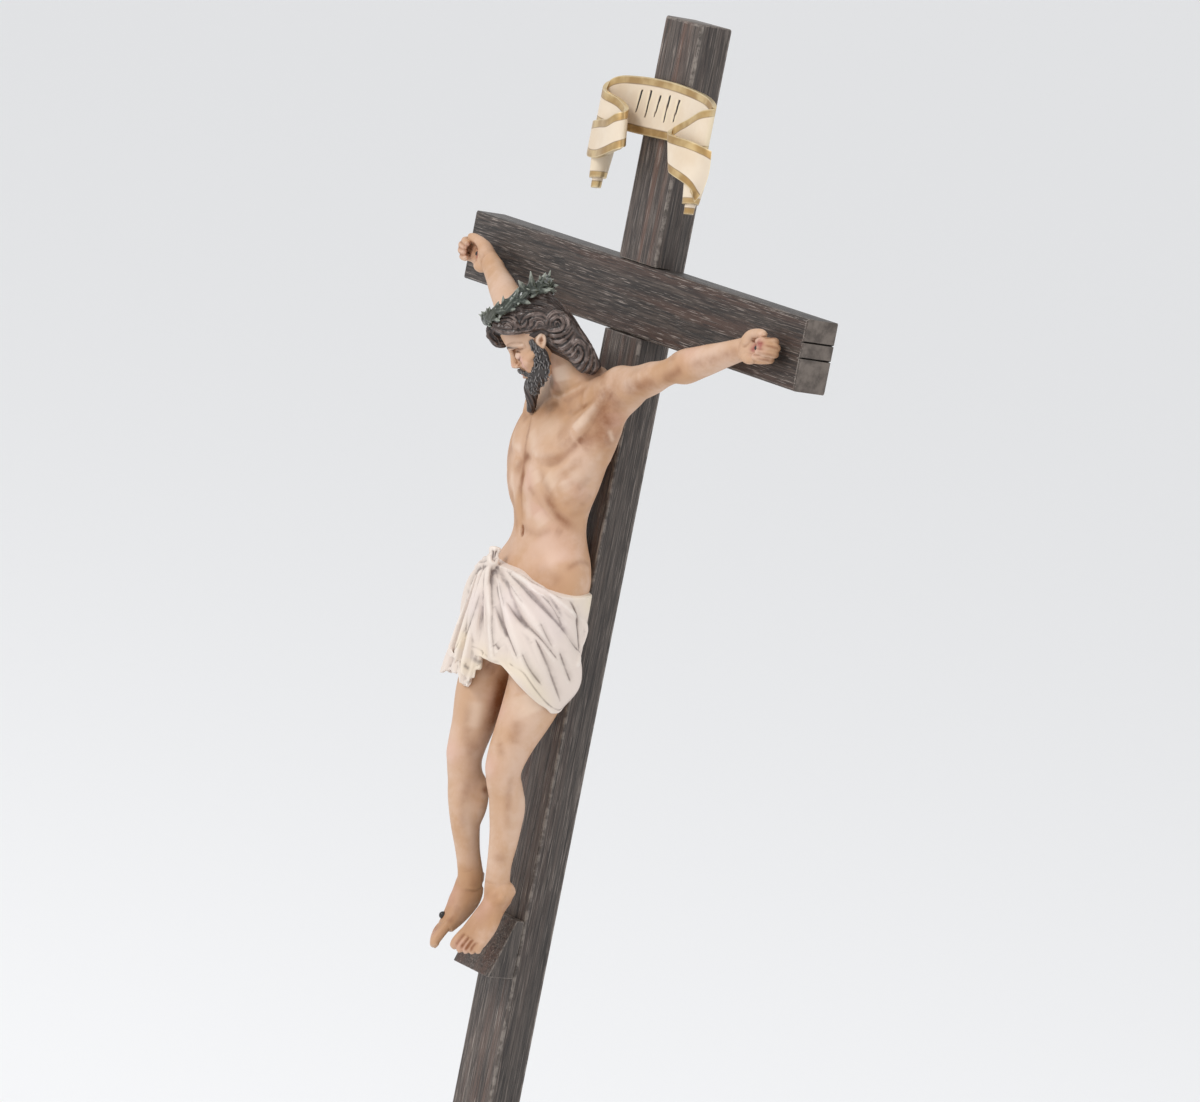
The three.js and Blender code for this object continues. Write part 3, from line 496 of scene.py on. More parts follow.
# %% Fuse the body, let its muscles run into each other, and press its back flat
BACK = -15.32
BODY_VOXEL = 0.78
body = fused("body", [torso, neck, *arms, *legs, *knee_caps, *calves], voxel=BODY_VOXEL, soften=8)
JOINTS = [
    [24, -30, -33, 14], [34, -30, -33, 14], [44, -30, -28, 9], [58, -30, -23, 9], [28, -34, -43, 13],
    [20, -38, -52, 11], [33, -24, -46, 12], [30, -25, -58, 10], [27, -28, -70, 9], [12, -38, -58, 9],
    [8, -34, -38, 12],
    [63, -28, -21, 7], [3, -42, -50, 10], [76, -26, -15, 8],
]
KNEES = [[13.1, -44, -196, 9], [-12.9, -48, -196, 9], [12.4, -27, -213, 11], [-10.4, -32, -213, 12],
         [0, -34, -30, 12]]
soften_near(body, [spot for x, y, z, r in JOINTS for spot in ([x, y, z, r], [-x, y, z, r])], times=90)
soften_near(body, KNEES, times=50)


def flat_back(obj, limit=BACK):
    points = points_of(obj)
    points[:, 1] = np.minimum(points[:, 1], limit)
    set_points(obj, points)


print("body:", triangles(body), "triangles")

# %% [markdown]
# The body's fine carving follows what is seen on its near half, and is repeated on its far half: the
# breastbone, the lower edge of the breast, the rib arch, the collarbones, and the tight fold at the armpit
# with its hollow.

# %% Carve the torso
ARMPIT_SEEN = [[612.5, 390], [602.5, 410], [589.5, 429.5], [576, 443]]
TENDON_SEEN = [[606, 391.5], [594, 408], [581, 421.5], [572.5, 429.5]]
BACK_FOLD_SEEN = [[599, 423], [602.5, 433], [607.5, 444.5]]
BREAST_EDGE_SEEN = [[523, 454.5], [539.5, 463], [556, 463], [571, 449.5], [582.5, 436.5]]
RIB_ARCH_SEEN = [[526, 473], [534.5, 496], [546, 514], [559.5, 527.5]]
RIBS_SEEN = [[[553, 483], [566, 475], [579, 466]], [[556, 491], [570, 486], [582.5, 479.5]],
             [[562.5, 506], [577, 500], [589.5, 492.5]], [[566, 519], [580, 513], [592, 506]]]
COLLARBONE_SEEN = [[547, 401.5], [556, 398], [566, 395.5], [577, 389.5], [587, 383.5]]
FLANK_SEEN = [[559.5, 527.5], [566, 540], [570, 553]]
ARMPIT_PIT = [610, 420]
FILLING = 5
pit = around(tree_of(body), *ARMPIT_PIT)
filling = pit + np.array(CAMERA_AHEAD) * (FILLING + 0.6)
FAR_SIDE = [-1, 1, 1]
fillings = [ball(middle, [FILLING] * 3) for middle in (filling, filling * FAR_SIDE)]
body = fused("body", [body, *fillings], voxel=BODY_VOXEL, soften=1)
soften_near(body, [[*pit, 8], [*(pit * FAR_SIDE), 8]], times=160)
tree = tree_of(body)
points, normals = points_of(body), normals_of(body)
SEEN_CUTS = [
    (ARMPIT_SEEN, 3.6, -1.3), (ARMPIT_SEEN, 1.6, -0.5), (TENDON_SEEN, 2.4, 1.0),
    (BACK_FOLD_SEEN, 1.6, 0.5),
    (BREAST_EDGE_SEEN, 2.6, -0.65), (RIB_ARCH_SEEN, 2.6, -0.5), (COLLARBONE_SEEN, 1.8, 0.8),
    (FLANK_SEEN, 3, -0.3),
    *[(rib, 1.7, -0.24) for rib in RIBS_SEEN],
]
torso_lines = {}
for pixels, width, height in SEEN_CUTS:
    lines = both_sides(tree, pixels)
    torso_lines[id(pixels)] = lines
    for line in lines:
        cut(points, normals, line, width, height)
BREASTBONE = seen_line(tree, [[534, 405], [529, 425], [524.5, 446], [521.5, 475], [520.5, 500],
                              [521.5, 522]])
cut(points, normals, BREASTBONE, 2.4, -0.5)
cut(points, normals, BREASTBONE, 0.9, -0.15)
NAVEL = seen_line(tree, [[522, 527], [522.3, 530.5], [522, 534]])
cut(points, normals, NAVEL, 1.0, -0.8, taper=False)
NECK_PIT = seen_line(tree, [[535, 392], [536.5, 394], [538, 392]])
cut(points, normals, NECK_PIT, 2.4, -0.5, taper=False)
NECK_MUSCLES = both_sides(tree, [[548, 352], [554, 366], [555.5, 381], [552, 393]])
for line in NECK_MUSCLES:
    cut(points, normals, line, 1.8, 0.5)
set_points(body, points)
soften_near(body, [[*around(tree, *ARMPIT_PIT), 5]], 60)
flat_back(body)
points = points_of(body)
# Brown strokes: antique wash, and painted shade in the armpit, under the breast, and where thighs and calves
# meet.
WASH_AND_SHADE_SEEN = [
    ([[520, 408], [512, 428], [509, 452]], 5, 0.45), ([[528, 404], [548, 410], [572, 406]], 5, 0.4),
    ([[556, 440], [572, 436]], 6, 0.45),
    ([[530, 455], [522, 462], [516, 474]], 2.4, 0.5), ([[582, 456], [570, 470], [560, 478]], 2.4, 0.4),
    ([[590, 476], [576, 490]], 2, 0.4),
    ([[592, 494], [580, 506]], 2, 0.4), ([[546, 492], [552, 506], [560, 518], [572, 527]], 2.2, 0.7),
    ([[524, 446], [522, 470], [519, 500]], 1.3, 0.55),
    ([[522, 526], [536, 534], [552, 530]], 1.6, 0.4), ([[566, 570], [580, 562], [590, 566]], 1.2, 0.5),
    ([[540, 566], [560, 584]], 3, 0.35),
    ([[470, 700], [468, 736], [474, 760]], 2.4, 0.4), ([[520, 720], [512, 745]], 3, 0.4),
    ([[540, 770], [536, 800]], 2, 0.35),
    ([[470, 776], [464, 800], [464, 830]], 2, 0.4), ([[512, 776], [508, 800], [508, 830]], 1.6, 0.4),
    ([[500, 858], [516, 866], [528, 860]], 2.4, 0.4),
    ([[690, 366], [716, 358], [740, 350]], 2.2, 0.5), ([[630, 372], [650, 366]], 3, 0.3),
    ([[676, 352], [672, 362]], 2.2, 0.4),
    ([[612, 388], [606, 402], [603, 418], [606, 434], [612, 446]], 6.5, 0.8),
    ([[618, 396], [614, 412], [612, 428]], 4, 0.5),
    ([[598, 424], [590, 438], [580, 450]], 4.4, 0.6), ([[624, 391], [640, 386], [656, 381]], 3.4, 0.6),
    ([[540, 458], [556, 459], [570, 450], [590, 432]], 2.4, 0.5),
    ([[542, 342], [548, 352], [556, 361], [563, 368]], 2.2, 0.6),
    ([[537, 366], [539, 376], [541, 388]], 1.6, 0.5), ([[600, 368], [602, 378], [601, 387]], 2.6, 0.6),
    ([[552, 403], [566, 398], [578, 393], [588, 387]], 1.4, 0.4),
    ([[663, 381], [674, 374], [681, 368]], 2.2, 0.55),
    ([[505, 668], [502, 690], [496, 712], [488, 733]], 4.2, 1.0), ([[486, 664], [496, 672]], 3, 0.7),
    ([[514, 672], [520, 680], [526, 690]], 2.4, 0.5), ([[540, 700], [556, 712], [572, 706]], 2.4, 0.35),
    ([[483, 764], [485, 790], [486, 812], [482, 830]], 1.6, 0.9),
    ([[482, 836], [482, 860], [479, 876]], 1.6, 0.6),
    ([[466, 872], [474, 880], [480, 874]], 3, 0.5), ([[538, 752], [532, 768], [536, 782]], 2, 0.25),
    ([[540, 470], [549, 492], [556, 512], [565, 528]], 1.8, 0.45),
    ([[509, 460], [512, 500], [517, 530]], 2, 0.3),
    ([[523, 412], [527, 420]], 2, 0.4), ([[528, 486], [534, 496]], 1.6, 0.35),
    ([[555, 530], [562, 534]], 2.4, 0.35),
    ([[500, 742], [502, 756]], 1.6, 0.5), ([[471, 744], [476, 752]], 3, 0.3),
]
# Painted highlights where light falls on the chest, the arms and the legs, and lighter paint on the neck,
# which lies in the shadow of the chin.
LIGHT_SEEN = [
    ([[545, 420], [558, 436]], 5, 0.35), ([[530, 430], [534, 448]], 3, 0.5),
    ([[545, 475], [556, 486]], 4, 0.6),
    ([[540, 536], [548, 552], [556, 566]], 7, 0.4), ([[536, 512], [544, 526]], 4, 0.6),
    ([[512, 470], [515, 500]], 1.6, 0.6),
    ([[534, 470], [538, 484]], 3, 0.6), ([[562, 480], [568, 492]], 3, 0.5),
    ([[572, 470], [580, 482]], 3, 0.4), ([[640, 366], [660, 358]], 4, 0.4),
    ([[598, 362], [616, 360]], 3.4, 0.7),
    ([[596, 404], [586, 416], [577, 426]], 2.4, 0.45), ([[547, 352], [546, 368], [543, 386]], 6, 1.7),
    ([[556, 366], [562, 382]], 4.4, 1.3), ([[609, 430], [613, 442]], 1, 0.7),
    ([[526, 500], [530, 520]], 3, 0.4),
    ([[530, 690], [540, 712], [540, 745]], 9, 1.0), ([[700, 343], [730, 334]], 4, 0.4),
    ([[478, 700], [474, 730]], 3.4, 0.8), ([[524, 800], [520, 840]], 3, 0.5),
    ([[468, 800], [470, 840]], 2.6, 0.5),
    ([[586, 470], [592, 500], [588, 540]], 5, 0.3), ([[474, 752], [478, 757]], 2, 0.5),
]
WASH_AND_SHADE_STROKES = [
    *seen_strokes(tree, WASH_AND_SHADE_SEEN),
    *[(line, 5, 0.5) for line in torso_lines[id(ARMPIT_SEEN)][1:]],
    *[(line, 1.8, 0.16) for rib in RIBS_SEEN for line in torso_lines[id(rib)]],
    (BREASTBONE, 0.7, 0.3), (BREASTBONE, 2.6, 0.15), (NAVEL, 1.2, 0.8), (NECK_PIT, 2.6, 0.3),
    ([[11, -34, -243], [11, -34, -250]], 4, 0.3), ([[-24, -38, -166], [24, -34, -170]], 3, 0.4),
    ([[26, -24, -60], [27, -22, -80], [22, -20, -100]], 5, 0.3),
    ([[-26, -24, -60], [-27, -22, -80], [-22, -20, -100]], 5, 0.3),
    ([[60, -24, -24], [80, -20, -16], [100, -18, -8]], 3.5, 0.35),
    ([[-60, -24, -24], [-80, -20, -16], [-100, -18, -8]], 4.5, 0.8),
]
BLUSH_SEEN = [
    ([[540, 532], [552, 548], [560, 566]], 10, 0.5), ([[540, 506], [536, 520]], 6, 0.6),
    ([[526, 470], [532, 490]], 5, 0.4), ([[592, 372], [604, 366], [616, 366]], 4.5, 0.6),
    ([[690, 350], [720, 338]], 6, 0.4), ([[548, 360], [550, 380]], 3, 0.6),
    ([[612, 412], [616, 428]], 5, 0.5),
    ([[575, 500], [585, 485]], 8, 0.3), ([[500, 700], [506, 716]], 5, 0.5),
    ([[560, 760], [556, 744]], 6, 0.3),
]
BLUSH_STROKES = [
    *seen_strokes(tree, BLUSH_SEEN),
    ([[13, -46, -196]], 5, 0.6), ([[-13, -50, -196]], 5, 0.6), ([[-63, -33, -19]], 6, 0.4),
    (NECK_MUSCLES[0], 3, 0.4),
]
paint_on(body, "wash_and_shade", points, WASH_AND_SHADE_STROKES)
paint_on(body, "blush", points, BLUSH_STROKES)
paint_on(body, "light", points, seen_strokes(tree, LIGHT_SEEN))
print("torso lines carved:", sum(len(lines) for lines in torso_lines.values()))

# %% [markdown]
# ## Hands and feet
# Each hand lies with its palm to the front. The fingers curl forward over the palm, and the thumb lies along
# the top. The feet hang side by side with their toes down. A nail head stands in each, in a small painted
# wound.

# %% Hands: rows and strokes are [along the hand, ahead of the wrist, up, ...]
HAND_RISE = 8
PALM_LENGTH = 16
HAND_VOXEL = 0.32
PALM = [
    [-7, 0, -0.6, 3.8, 3], [-2, 0, -0.2, 4.4, 3.6], [4, -0.5, 0, 5.3, 3.9], [10, -1.4, 0, 5.6, 3],
    [PALM_LENGTH + 1, -1.8, 0, 5.2, 2.4],
]
FINGERS = [
    dict(rise=3.6, joint=19.8, r=1.55), dict(rise=1.2, joint=21.2, r=1.6),
    dict(rise=-1.2, joint=20.6, r=1.55), dict(rise=-3.5, joint=18.2, r=1.4),
]
THUMB = [
    [1.5, 0, 1.6, 3.2, 3.1], [5.6, 1, 4.6, 3.1, 2.9], [9, 1.6, 5.9, 2.5, 2.3], [12, 2, 6.3, 2.2, 2],
    [14.6, 2.4, 6.3, 2.2, 1.9], [17, 2.6, 6, 1.7, 1.5],
]
PADS = [([4.6, 1.4, 3], [4.2, 2.6, 3.2]), ([5.4, 1, -3.4], [5, 2.4, 2.6])]
CREASES = [
    ([[8, 2.2, 3.4], [12, 1.2, 2.2], [15.5, 0.4, 3.8]], 0.5, -0.4),
    ([[6, 2, -1], [11, 1, 0], [15.5, 0.2, -3]], 0.5, -0.35),
    ([[3, 3, 0.4], [6.5, 3.4, 1], [10, 2.4, 4]], 0.6, -0.5),
]
# Brown strokes on the hand: antique wash, and painted shade between the fingers and in the creases.
HAND_WASH_AND_SHADE = [
    *[([[joint, 5, up], [joint - 5, 4.6, up * 0.96]], 0.6, 0.9) for joint,
      up in ((20.6, 2.4), (21, 0), (19.6, -2.4))],
    ([[9, 2.4, 4.2], [13, 2, 4]], 1.1, 0.8), ([[21.5, -2, 4], [21.5, -2, -4]], 1.6, 0.6),
    ([[-1, 3, -3], [1.5, 3.6, 0], [1, 3, 3]], 1.3, 0.35), ([[2, -3, 3], [16, -4, 4]], 3, 0.7),
    ([[13.5, 1, 2.6], [13, 1, 0]], 1.1, 0.9),
]
HAND_RED = [([[11, 1.6, 2], [9.6, 2, 0.4], [9, 2.2, -1.4]], 1.5, 0.85), ([[14, 3, 3]], 1.4, 0.4)]
HAND_BLUSH = [([[14, 4.4, -3], [17, 4.6, 3]], 4, 0.4)]
WOUND_SEEN = [[757, 341], [762, 348]]
FINGER_GAPS_SEEN = [
    [[757, 345], [768, 346], [779, 349]], [[757, 352], [767, 354], [778, 356]],
    [[757, 358], [766, 360], [774, 361]], [[764, 339], [772, 338], [779, 342]],
]


def hand_place(side):
    rise = math.radians(HAND_RISE)
    out = np.array([math.cos(rise), 0, math.sin(rise)])
    up = np.array([-out[2], 0, out[0]])

    def place(along, ahead, lift):
        point = np.array(WRIST) + out * along + FRONT * ahead + up * lift
        return mirrored(point.tolist(), side)
    return place


def placed(place, rows):
    """Rows whose first three values are taken to their place, and whose other values stay."""
    return [[*place(*row[:3]), *row[3:]] for row in rows]


def placed_strokes(place, strokes):
    return [(placed(place, rows), width, strength) for rows, width, strength in strokes]


def finger_rows(rise, joint, r):
    """From the palm to the joint, forward over it, and back towards the palm."""
    return [
        [11, -1.4, rise * 0.9, r * 1.1, r], [PALM_LENGTH, -2, rise, r * 1.08, r],
        [joint - 1, -1.9, rise, r * 1.1, r * 1.05], [joint + 0.6, -0.2, rise, r * 1.05, r * 1.1],
        [joint + 0.5, 1.9, rise * 0.95, r, r], [joint - 0.4, 3.4, rise * 0.92, r, r * 1.05],
        [joint - 2.4, 4, rise * 0.9, r * 0.92, r * 0.92],
        [joint - 4.4, 4, rise * 0.86, r * 0.84, r * 0.84],
    ]


def make_hand(side, name):
    place = hand_place(side)
    upwards = dict(facing=[0, 0, 1], dome=0.9)
    parts = [limb(placed(place, PALM), sides=32, steps=5)]
    parts += [limb(placed(place, finger_rows(**finger)), sides=20, **upwards) for finger in FINGERS]
    parts.append(limb(placed(place, THUMB), sides=24, **upwards))
    parts += [ball(place(*spot), half_sizes, detail=20) for spot, half_sizes in PADS]
    hand = fused(name, parts, voxel=HAND_VOXEL, soften=5)
    points, normals = points_of(hand), normals_of(hand)
    for line, width, height in placed_strokes(place, CREASES):
        cut(points, normals, line, width, height)
    set_points(hand, points)
    flat_back(hand)
    wash_and_shade, red = placed_strokes(place, HAND_WASH_AND_SHADE), placed_strokes(place, HAND_RED)
    if side > 0:
        tree = tree_of(hand)
        # Painted shade in the gaps between the fingers, where they are seen.
        wash_and_shade += [(seen_line(tree, pixels), 0.6, 1) for pixels in FINGER_GAPS_SEEN]
        red.append((seen_line(tree, WOUND_SEEN), 1.7, 1))
    paint_on(hand, "wash_and_shade", points, wash_and_shade)
    paint_on(hand, "red", points, red)
    paint_on(hand, "blush", points, placed_strokes(place, HAND_BLUSH))
    return hand


hands = [make_hand(1, "near_hand"), make_hand(-1, "far_hand")]
print("hands:", [triangles(h) for h in hands], "triangles")

# %% [markdown]
# A foot is a limb from heel to ball with five toes on it. Its rows are [along the sole, above it, inward,
# ...], so that both feet come from the same rows, each with its own length and slant.

# %% Feet
FOOT_TURN = 20
FOOT_VOXEL = 0.36
NEAR_FOOT = dict(length=35.2, drop=56.5, wider=1, deeper=0.2)
FAR_FOOT = dict(length=37.6, drop=59.2, wider=0, deeper=1.5)
HEEL_FROM_ANKLE = [7.9, 4]
ANKLES = [[7.4, 8.2, 4.2], [7.4, 8.2, -4.2]]
INSTEP = [[10, 9.4, 0], [10, 9, 3], [10, 9, -3]]
TOES = [
    dict(inward=4.6, radius=2.0, reach=0), dict(inward=1.7, radius=1.5, reach=-0.2),
    dict(inward=-0.8, radius=1.45, reach=-1.2), dict(inward=-3.1, radius=1.4, reach=-2.4),
    dict(inward=-5.2, radius=1.35, reach=-4),
]
# Brown strokes on the foot: antique wash, and painted shade in its hollows and over the whole foot.
FOOT_WASH_AND_SHADE = [
    ([[16, 5, 6.5], [26, 4, 7.5]], 2.6, 0.7), ([[6, 9, -3], [10, 9.6, 0], [7, 9, 4]], 2, 0.3),
    ([[3, 4, -5], [12, 3, -6]], 2.6, 0.45), ([[2, 8, 5], [8, 4, 6]], 2.4, 0.4),
    ([[6, 6, 0], [18, 5, 0], [34, 3, 0]], 10, 0.3),
]
FOOT_BLUSH = [([[10, 9, 0], [20, 6.4, 2]], 4, 0.5), ([[32, 4, 4], [31, 4, -4]], 3, 0.6)]
FOOT_WOUND = [([[22, 7, 0.6], [25, 6, 1.2]], 1.2, 0.5)]


def foot_place(leg, foot, side):
    x, y, z = leg[-1][:3]
    heel = np.array([x, y + HEEL_FROM_ANKLE[0], z + HEEL_FROM_ANKLE[1]])
    drop, turn = math.radians(foot["drop"]), math.radians(FOOT_TURN)
    along = np.array([0, -math.cos(drop), -math.sin(drop)])
    across = np.array([-side * math.cos(turn), -math.sin(turn) * math.sin(drop),
                       math.sin(turn) * math.cos(drop)])
    above = np.cross(across, along) * side

    def place(run, rise, inward):
        return (heel + along * run + above * rise + across * inward).tolist()
    return place, above


def make_foot(leg, foot, side, name):
    place, above = foot_place(leg, foot, side)
    wider, deeper = foot["wider"], foot["deeper"]
    parts = [limb(placed(place, [
        [0.5, 3.6, 0, 3.6, 3.2], [4.5, 5.4, 0, 5, 5.6], [11, 4.5 - deeper, 0, 5.2, 4.9 + deeper],
        [19, 3.4 - deeper, -wider * 0.8, 6 + wider, 3.5 + deeper],
        [26.5, 2.6 - deeper * 0.4, 0.2 - wider, 6.4 + wider, 2.7 + deeper * 0.4],
    ]), sides=36, steps=5, facing=above)]
    tendons = []
    for toe in TOES:
        r = toe["radius"]
        over = toe["inward"] - wider * (0.9 - toe["inward"] * 0.14)
        end = foot["length"] + toe["reach"]
        parts.append(limb(placed(place, [
            [20, 2.4, over * 0.8, r, r], [25, 2.8, over * 0.94, r * 1.05, r * 1.05],
            [end - 6, 3.1, over, r, r * 1.05],
            [end - 3.4, 2.9, over, r * 1.02, r], [end - r, 1.9, over, r, r * 0.85],
        ]), sides=20, facing=above, dome=0.9))
        tendons.append(placed(place, [[14, 9, over * 0.4], [19, 7.2, over * 0.7], [25, 5.2, over]]))
    shin = [[*row[:3], row[3] + more, row[4] + more] for row, more in zip(leg[-3:], (-0.9, 0.1, 0.5))]
    parts.append(limb(shin, sides=32, steps=5))
    parts += [ball(ankle, [1.7, 2, 2.2], detail=16) for ankle in placed(place, ANKLES)]
    foot_piece = fused(name, parts, voxel=FOOT_VOXEL, soften=6)
    soften_near(foot_piece, [[*spot, 4.2] for spot in placed(place, ANKLES + INSTEP)], times=70)
    points, normals = points_of(foot_piece), normals_of(foot_piece)
    for line in tendons:
        cut(points, normals, line, 0.9, 0.2)
    set_points(foot_piece, points)
    flat_back(foot_piece)
    # Painted shade between the toes.
    gaps = [(a["inward"] + b["inward"]) / 2 - wider * 0.7 for a, b in zip(TOES, TOES[1:])]
    between_toes = [([[27, 4.4, gap], [foot["length"] - 2.5, 3.8, gap]], 0.8, 1.2) for gap in gaps]
    paint_on(foot_piece, "wash_and_shade", points, placed_strokes(place, between_toes + FOOT_WASH_AND_SHADE))
    paint_on(foot_piece, "blush", points, placed_strokes(place, FOOT_BLUSH))
    paint_on(foot_piece, "red", points, placed_strokes(place, FOOT_WOUND) if side < 0 else [])
    return foot_piece


feet = [make_foot(NEAR_LEG, NEAR_FOOT, 1, "near_foot"), make_foot(FAR_LEG, FAR_FOOT, -1, "far_foot")]
print("feet:", [triangles(f) for f in feet], "triangles")

# %% [markdown]
# ## Head
# The head is made upright around its own middle, where both halves are alike, and is then turned, bowed and
# leaned as a whole. The face is a calm one on the usual proportions: the eyes lie half way down the head,
# the base of the nose half way from brow to chin. The eyelids are lowered.

# %% Place of the head
HEAD = np.array([-5.0, -51.0, -23.0])
HEAD_TURN, HEAD_BOW, HEAD_LEAN = 28, 41, -4
HEAD_MATRIX = turned(x=HEAD_BOW, y=HEAD_LEAN, z=-HEAD_TURN)


def from_head(points):
    return np.asarray(points) @ HEAD_MATRIX.T + HEAD


def place_head(obj):
    set_points(obj, from_head(points_of(obj)))


def to_head(points):
    return (np.asarray(points) - HEAD) @ HEAD_MATRIX
print("head stands at", HEAD)

# %% [markdown]
# The skull carries balls for the eyes, the cheeks and the nose, and short limbs for the brow, the cheekbone,
# the lips and the ear. Only one half is given, because the face is the same on both. A second, finer remesh
# after the softening gives its features enough points.
# %% Face
HEAD_SHAPE = [
    [0, -7.6, -15, 2.8, 3], [0, -6.8, -13, 5.2, 5], [0, -5.6, -9.4, 7, 6.4], [0, -4.2, -5.2, 8.1, 7.4],
    [0, -1.5, -0.8, 8.9, 9.2], [0, -0.9, 3.8, 9.5, 11.4], [0, 0, 8.4, 9.6, 11.8], [0, 0.8, 13, 7.6, 9.6],
]
NOSE = [[0, -11, 2.6, 1.2, 1.3], [0, -11.3, 0, 1.1, 1.3], [0, -12.4, -3, 1.25, 1.5],
        [0, -13.2, -5, 1.45, 1.5]]
CHIN = dict(place=[0, -10.4, -13.6], half_sizes=[3.2, 2.4, 2.4])
EYE = dict(place=[3.8, -8.8, -1.8], half_sizes=[2.5, 2.3, 2.1])
BROW_RIDGE = [[0.6, -10.9, 2.1, 1, 1], [3.4, -11, 2.9, 1.3, 1.1], [6.2, -9, 2.6, 1.3, 1],
              [8, -5.6, 1.2, 1.1, 0.7]]
CHEEK = dict(place=[4.6, -8, -5.6], half_sizes=[3.3, 2.3, 2.9])
CHEEKBONE = [[3.6, -8.6, -4.8, 2, 1.6], [6, -7, -4.4, 2, 1.7], [7.8, -4, -3.4, 2, 1.4],
             [8.4, -1, -2.4, 1.8, 1]]
UPPER_LIP = [[2.9, -11, -9.2, 0.3, 0.4], [1.3, -11.9, -8.9, 0.62, 0.6], [0, -12.1, -9.1, 0.6, 0.6]]
LOWER_LIP = [[2.5, -11.1, -9.7, 0.3, 0.4], [1.2, -11.8, -10.3, 0.75, 0.7], [0, -12, -10.4, 0.8, 0.75]]
EAR = [
    [[8.6, 3.2, 1.6, 0.8, 1.1], [9.7, 2.4, 1.5, 0.8, 1.1], [9.8, 0.6, 0.6, 0.8, 0.8],
     [9.6, -0.2, -0.8, 0.8, 0.7],
     [9.2, 0, -2.8, 1, 1]],
    [[8.6, 3.2, 1.6, 0.8, 1.1], [9.8, 3.4, 0.5, 0.8, 0.9], [9.8, 2.8, -1.3, 0.8, 0.8],
     [9.3, 1, -3, 1, 1.1],
     [9, 0, -3.4, 1, 1]],
]
FACE_SOFTER = [
    [6.6, -8, -2, 2], [5, -9.6, -4, 1.5], [2, -11, -1.6, 1.4], [7, -8, 2, 1.8], [4, -11, 1.2, 1.3],
    [6, -8, -7, 3],
]
FACE_VOXEL, FACE_FINE_VOXEL = 0.34, 0.29


def two_halves(stations):
    return [*stations, *mirrored_all(reversed(stations[:-1]), -1)]


def make_face():
    parts = [
        limb(HEAD_SHAPE, sides=56, steps=5, dome=0.4), ball(**CHIN), limb(NOSE, sides=24, steps=5),
        ball([0, -9, -9], [3.9, 2.6, 3.3], detail=28),
        limb(two_halves(UPPER_LIP), sides=16), limb(two_halves(LOWER_LIP), sides=16),
    ]
    for side in (-1, 1):
        parts += [
            ball(mirrored(EYE["place"], side), EYE["half_sizes"], detail=32),
            ball(mirrored(CHEEK["place"], side), CHEEK["half_sizes"]),
            limb(mirrored_all(CHEEKBONE, side), sides=24, steps=5),
            limb(mirrored_all(BROW_RIDGE, side), sides=20, steps=5),
            ball(mirrored([1.7, -12, -5.2], side), [1.1, 1.5, 1], detail=20),
            *[limb(mirrored_all(rows, side), sides=16, steps=5, facing=[side, 0, 0]) for rows in EAR],
            ball(mirrored([9, 1.7, -0.7], side), [0.9, 1.9, 2.2], detail=20),
        ]
    made = fused("face", parts, voxel=FACE_VOXEL, soften=5)
    soften_near(made, [mirrored(spot, side) for side in (-1, 1) for spot in FACE_SOFTER], 14)
    apply_modifier(made, "REMESH", mode="VOXEL", voxel_size=FACE_FINE_VOXEL * MM, adaptivity=0)
    shade_smooth(made)
    return made


face = make_face()
print("face:", triangles(face), "triangles")

# %% [markdown]
# The fine features are lines: the closed lids, the brows, the folds beside the nose and the mouth. Each line
# is laid on the front of the face and cut in, and the same lines carry the paint of brows, lids and lips.

# %% Features of the face: lines [across, up] that are laid on its front, each with a width and a height
LID_LINE = [[1.9, -2.5], [2.8, -3.1], [4.2, -3.3], [6, -2.3]]
LID_FOLD = [[1.9, -1], [2.8, 0], [4.3, 0.2], [6, -0.9]]
BROW = [[1.5, 2.3], [3.2, 3.3], [5.3, 3.2], [7.3, 1.6]]
SIDE_FEATURES = [
    (LID_LINE, 0.34, -0.5), (LID_FOLD, 0.4, -0.4), (BROW, 0.5, 0.25),
    ([[2.2, -4.3], [4.2, -4.9], [6.2, -4]], 0.8, -0.25),
    ([[2.4, -5.6], [3.5, -7.3], [4.3, -9.2]], 0.7, -0.3), ([[2.5, -4.6], [2.8, -5.6]], 0.4, -0.35),
    ([[1, -6.1], [1.1, -6.3]], 0.45, -0.5),
]
MIDDLE_FEATURES = [
    ([[-2.8, -9.4], [-1.2, -9.5], [0, -9.65], [1.2, -9.5], [2.8, -9.4]], 0.34, -0.5),
    ([[0, -7], [0, -8]], 0.5, -0.25),
    ([[-1.8, -11.6], [0, -11.8], [1.8, -11.6]], 0.7, -0.4),
]
EAR_HOLE = [[9.9, 1.5, 0], [9.8, 1.6, -1.3]]
# Brown strokes round the lids, beside the nose, in the ear and at the temple: antique wash and painted
# shade.
SIDE_PAINT = dict(
    dark=[(BROW, 0.55, 1), (LID_LINE, 0.3, 0.95), ([[2.3, 0], [4.3, 0.3], [6, -0.8]], 0.25, 0.35)],
    red=[([[1.9, -2.4], [2.1, -2.5]], 0.5, 0.4)],
    blush=[([[4.8, -5], [6.6, -5]], 3, 1.4)],
    wash_and_shade=[([[2, 1], [2, -1]], 0.9, 0.5), ([[2.4, 0.8], [6, 0.4]], 0.9, 0.35),
          ([[2.4, -4.3], [5.4, -4.6]], 0.8, 0.3),
          ([[2.4, -5.8], [3.8, -7.6]], 0.6, 0.45)],
)
MIDDLE_PAINT = dict(
    dark=[], wash_and_shade=[], blush=[([[0, -4.6], [0, -3]], 1.4, 1)],
    red=[([[-2.3, -9.2], [0, -9.3], [2.3, -9.2]], 0.8, 0.75),
         ([[-1.9, -10], [0, -10.3], [1.9, -10]], 0.8, 0.75)],
)
TEMPLE = [[8.6, -2, 4.6], [8.4, -7, 7], [6, -11, 10]]
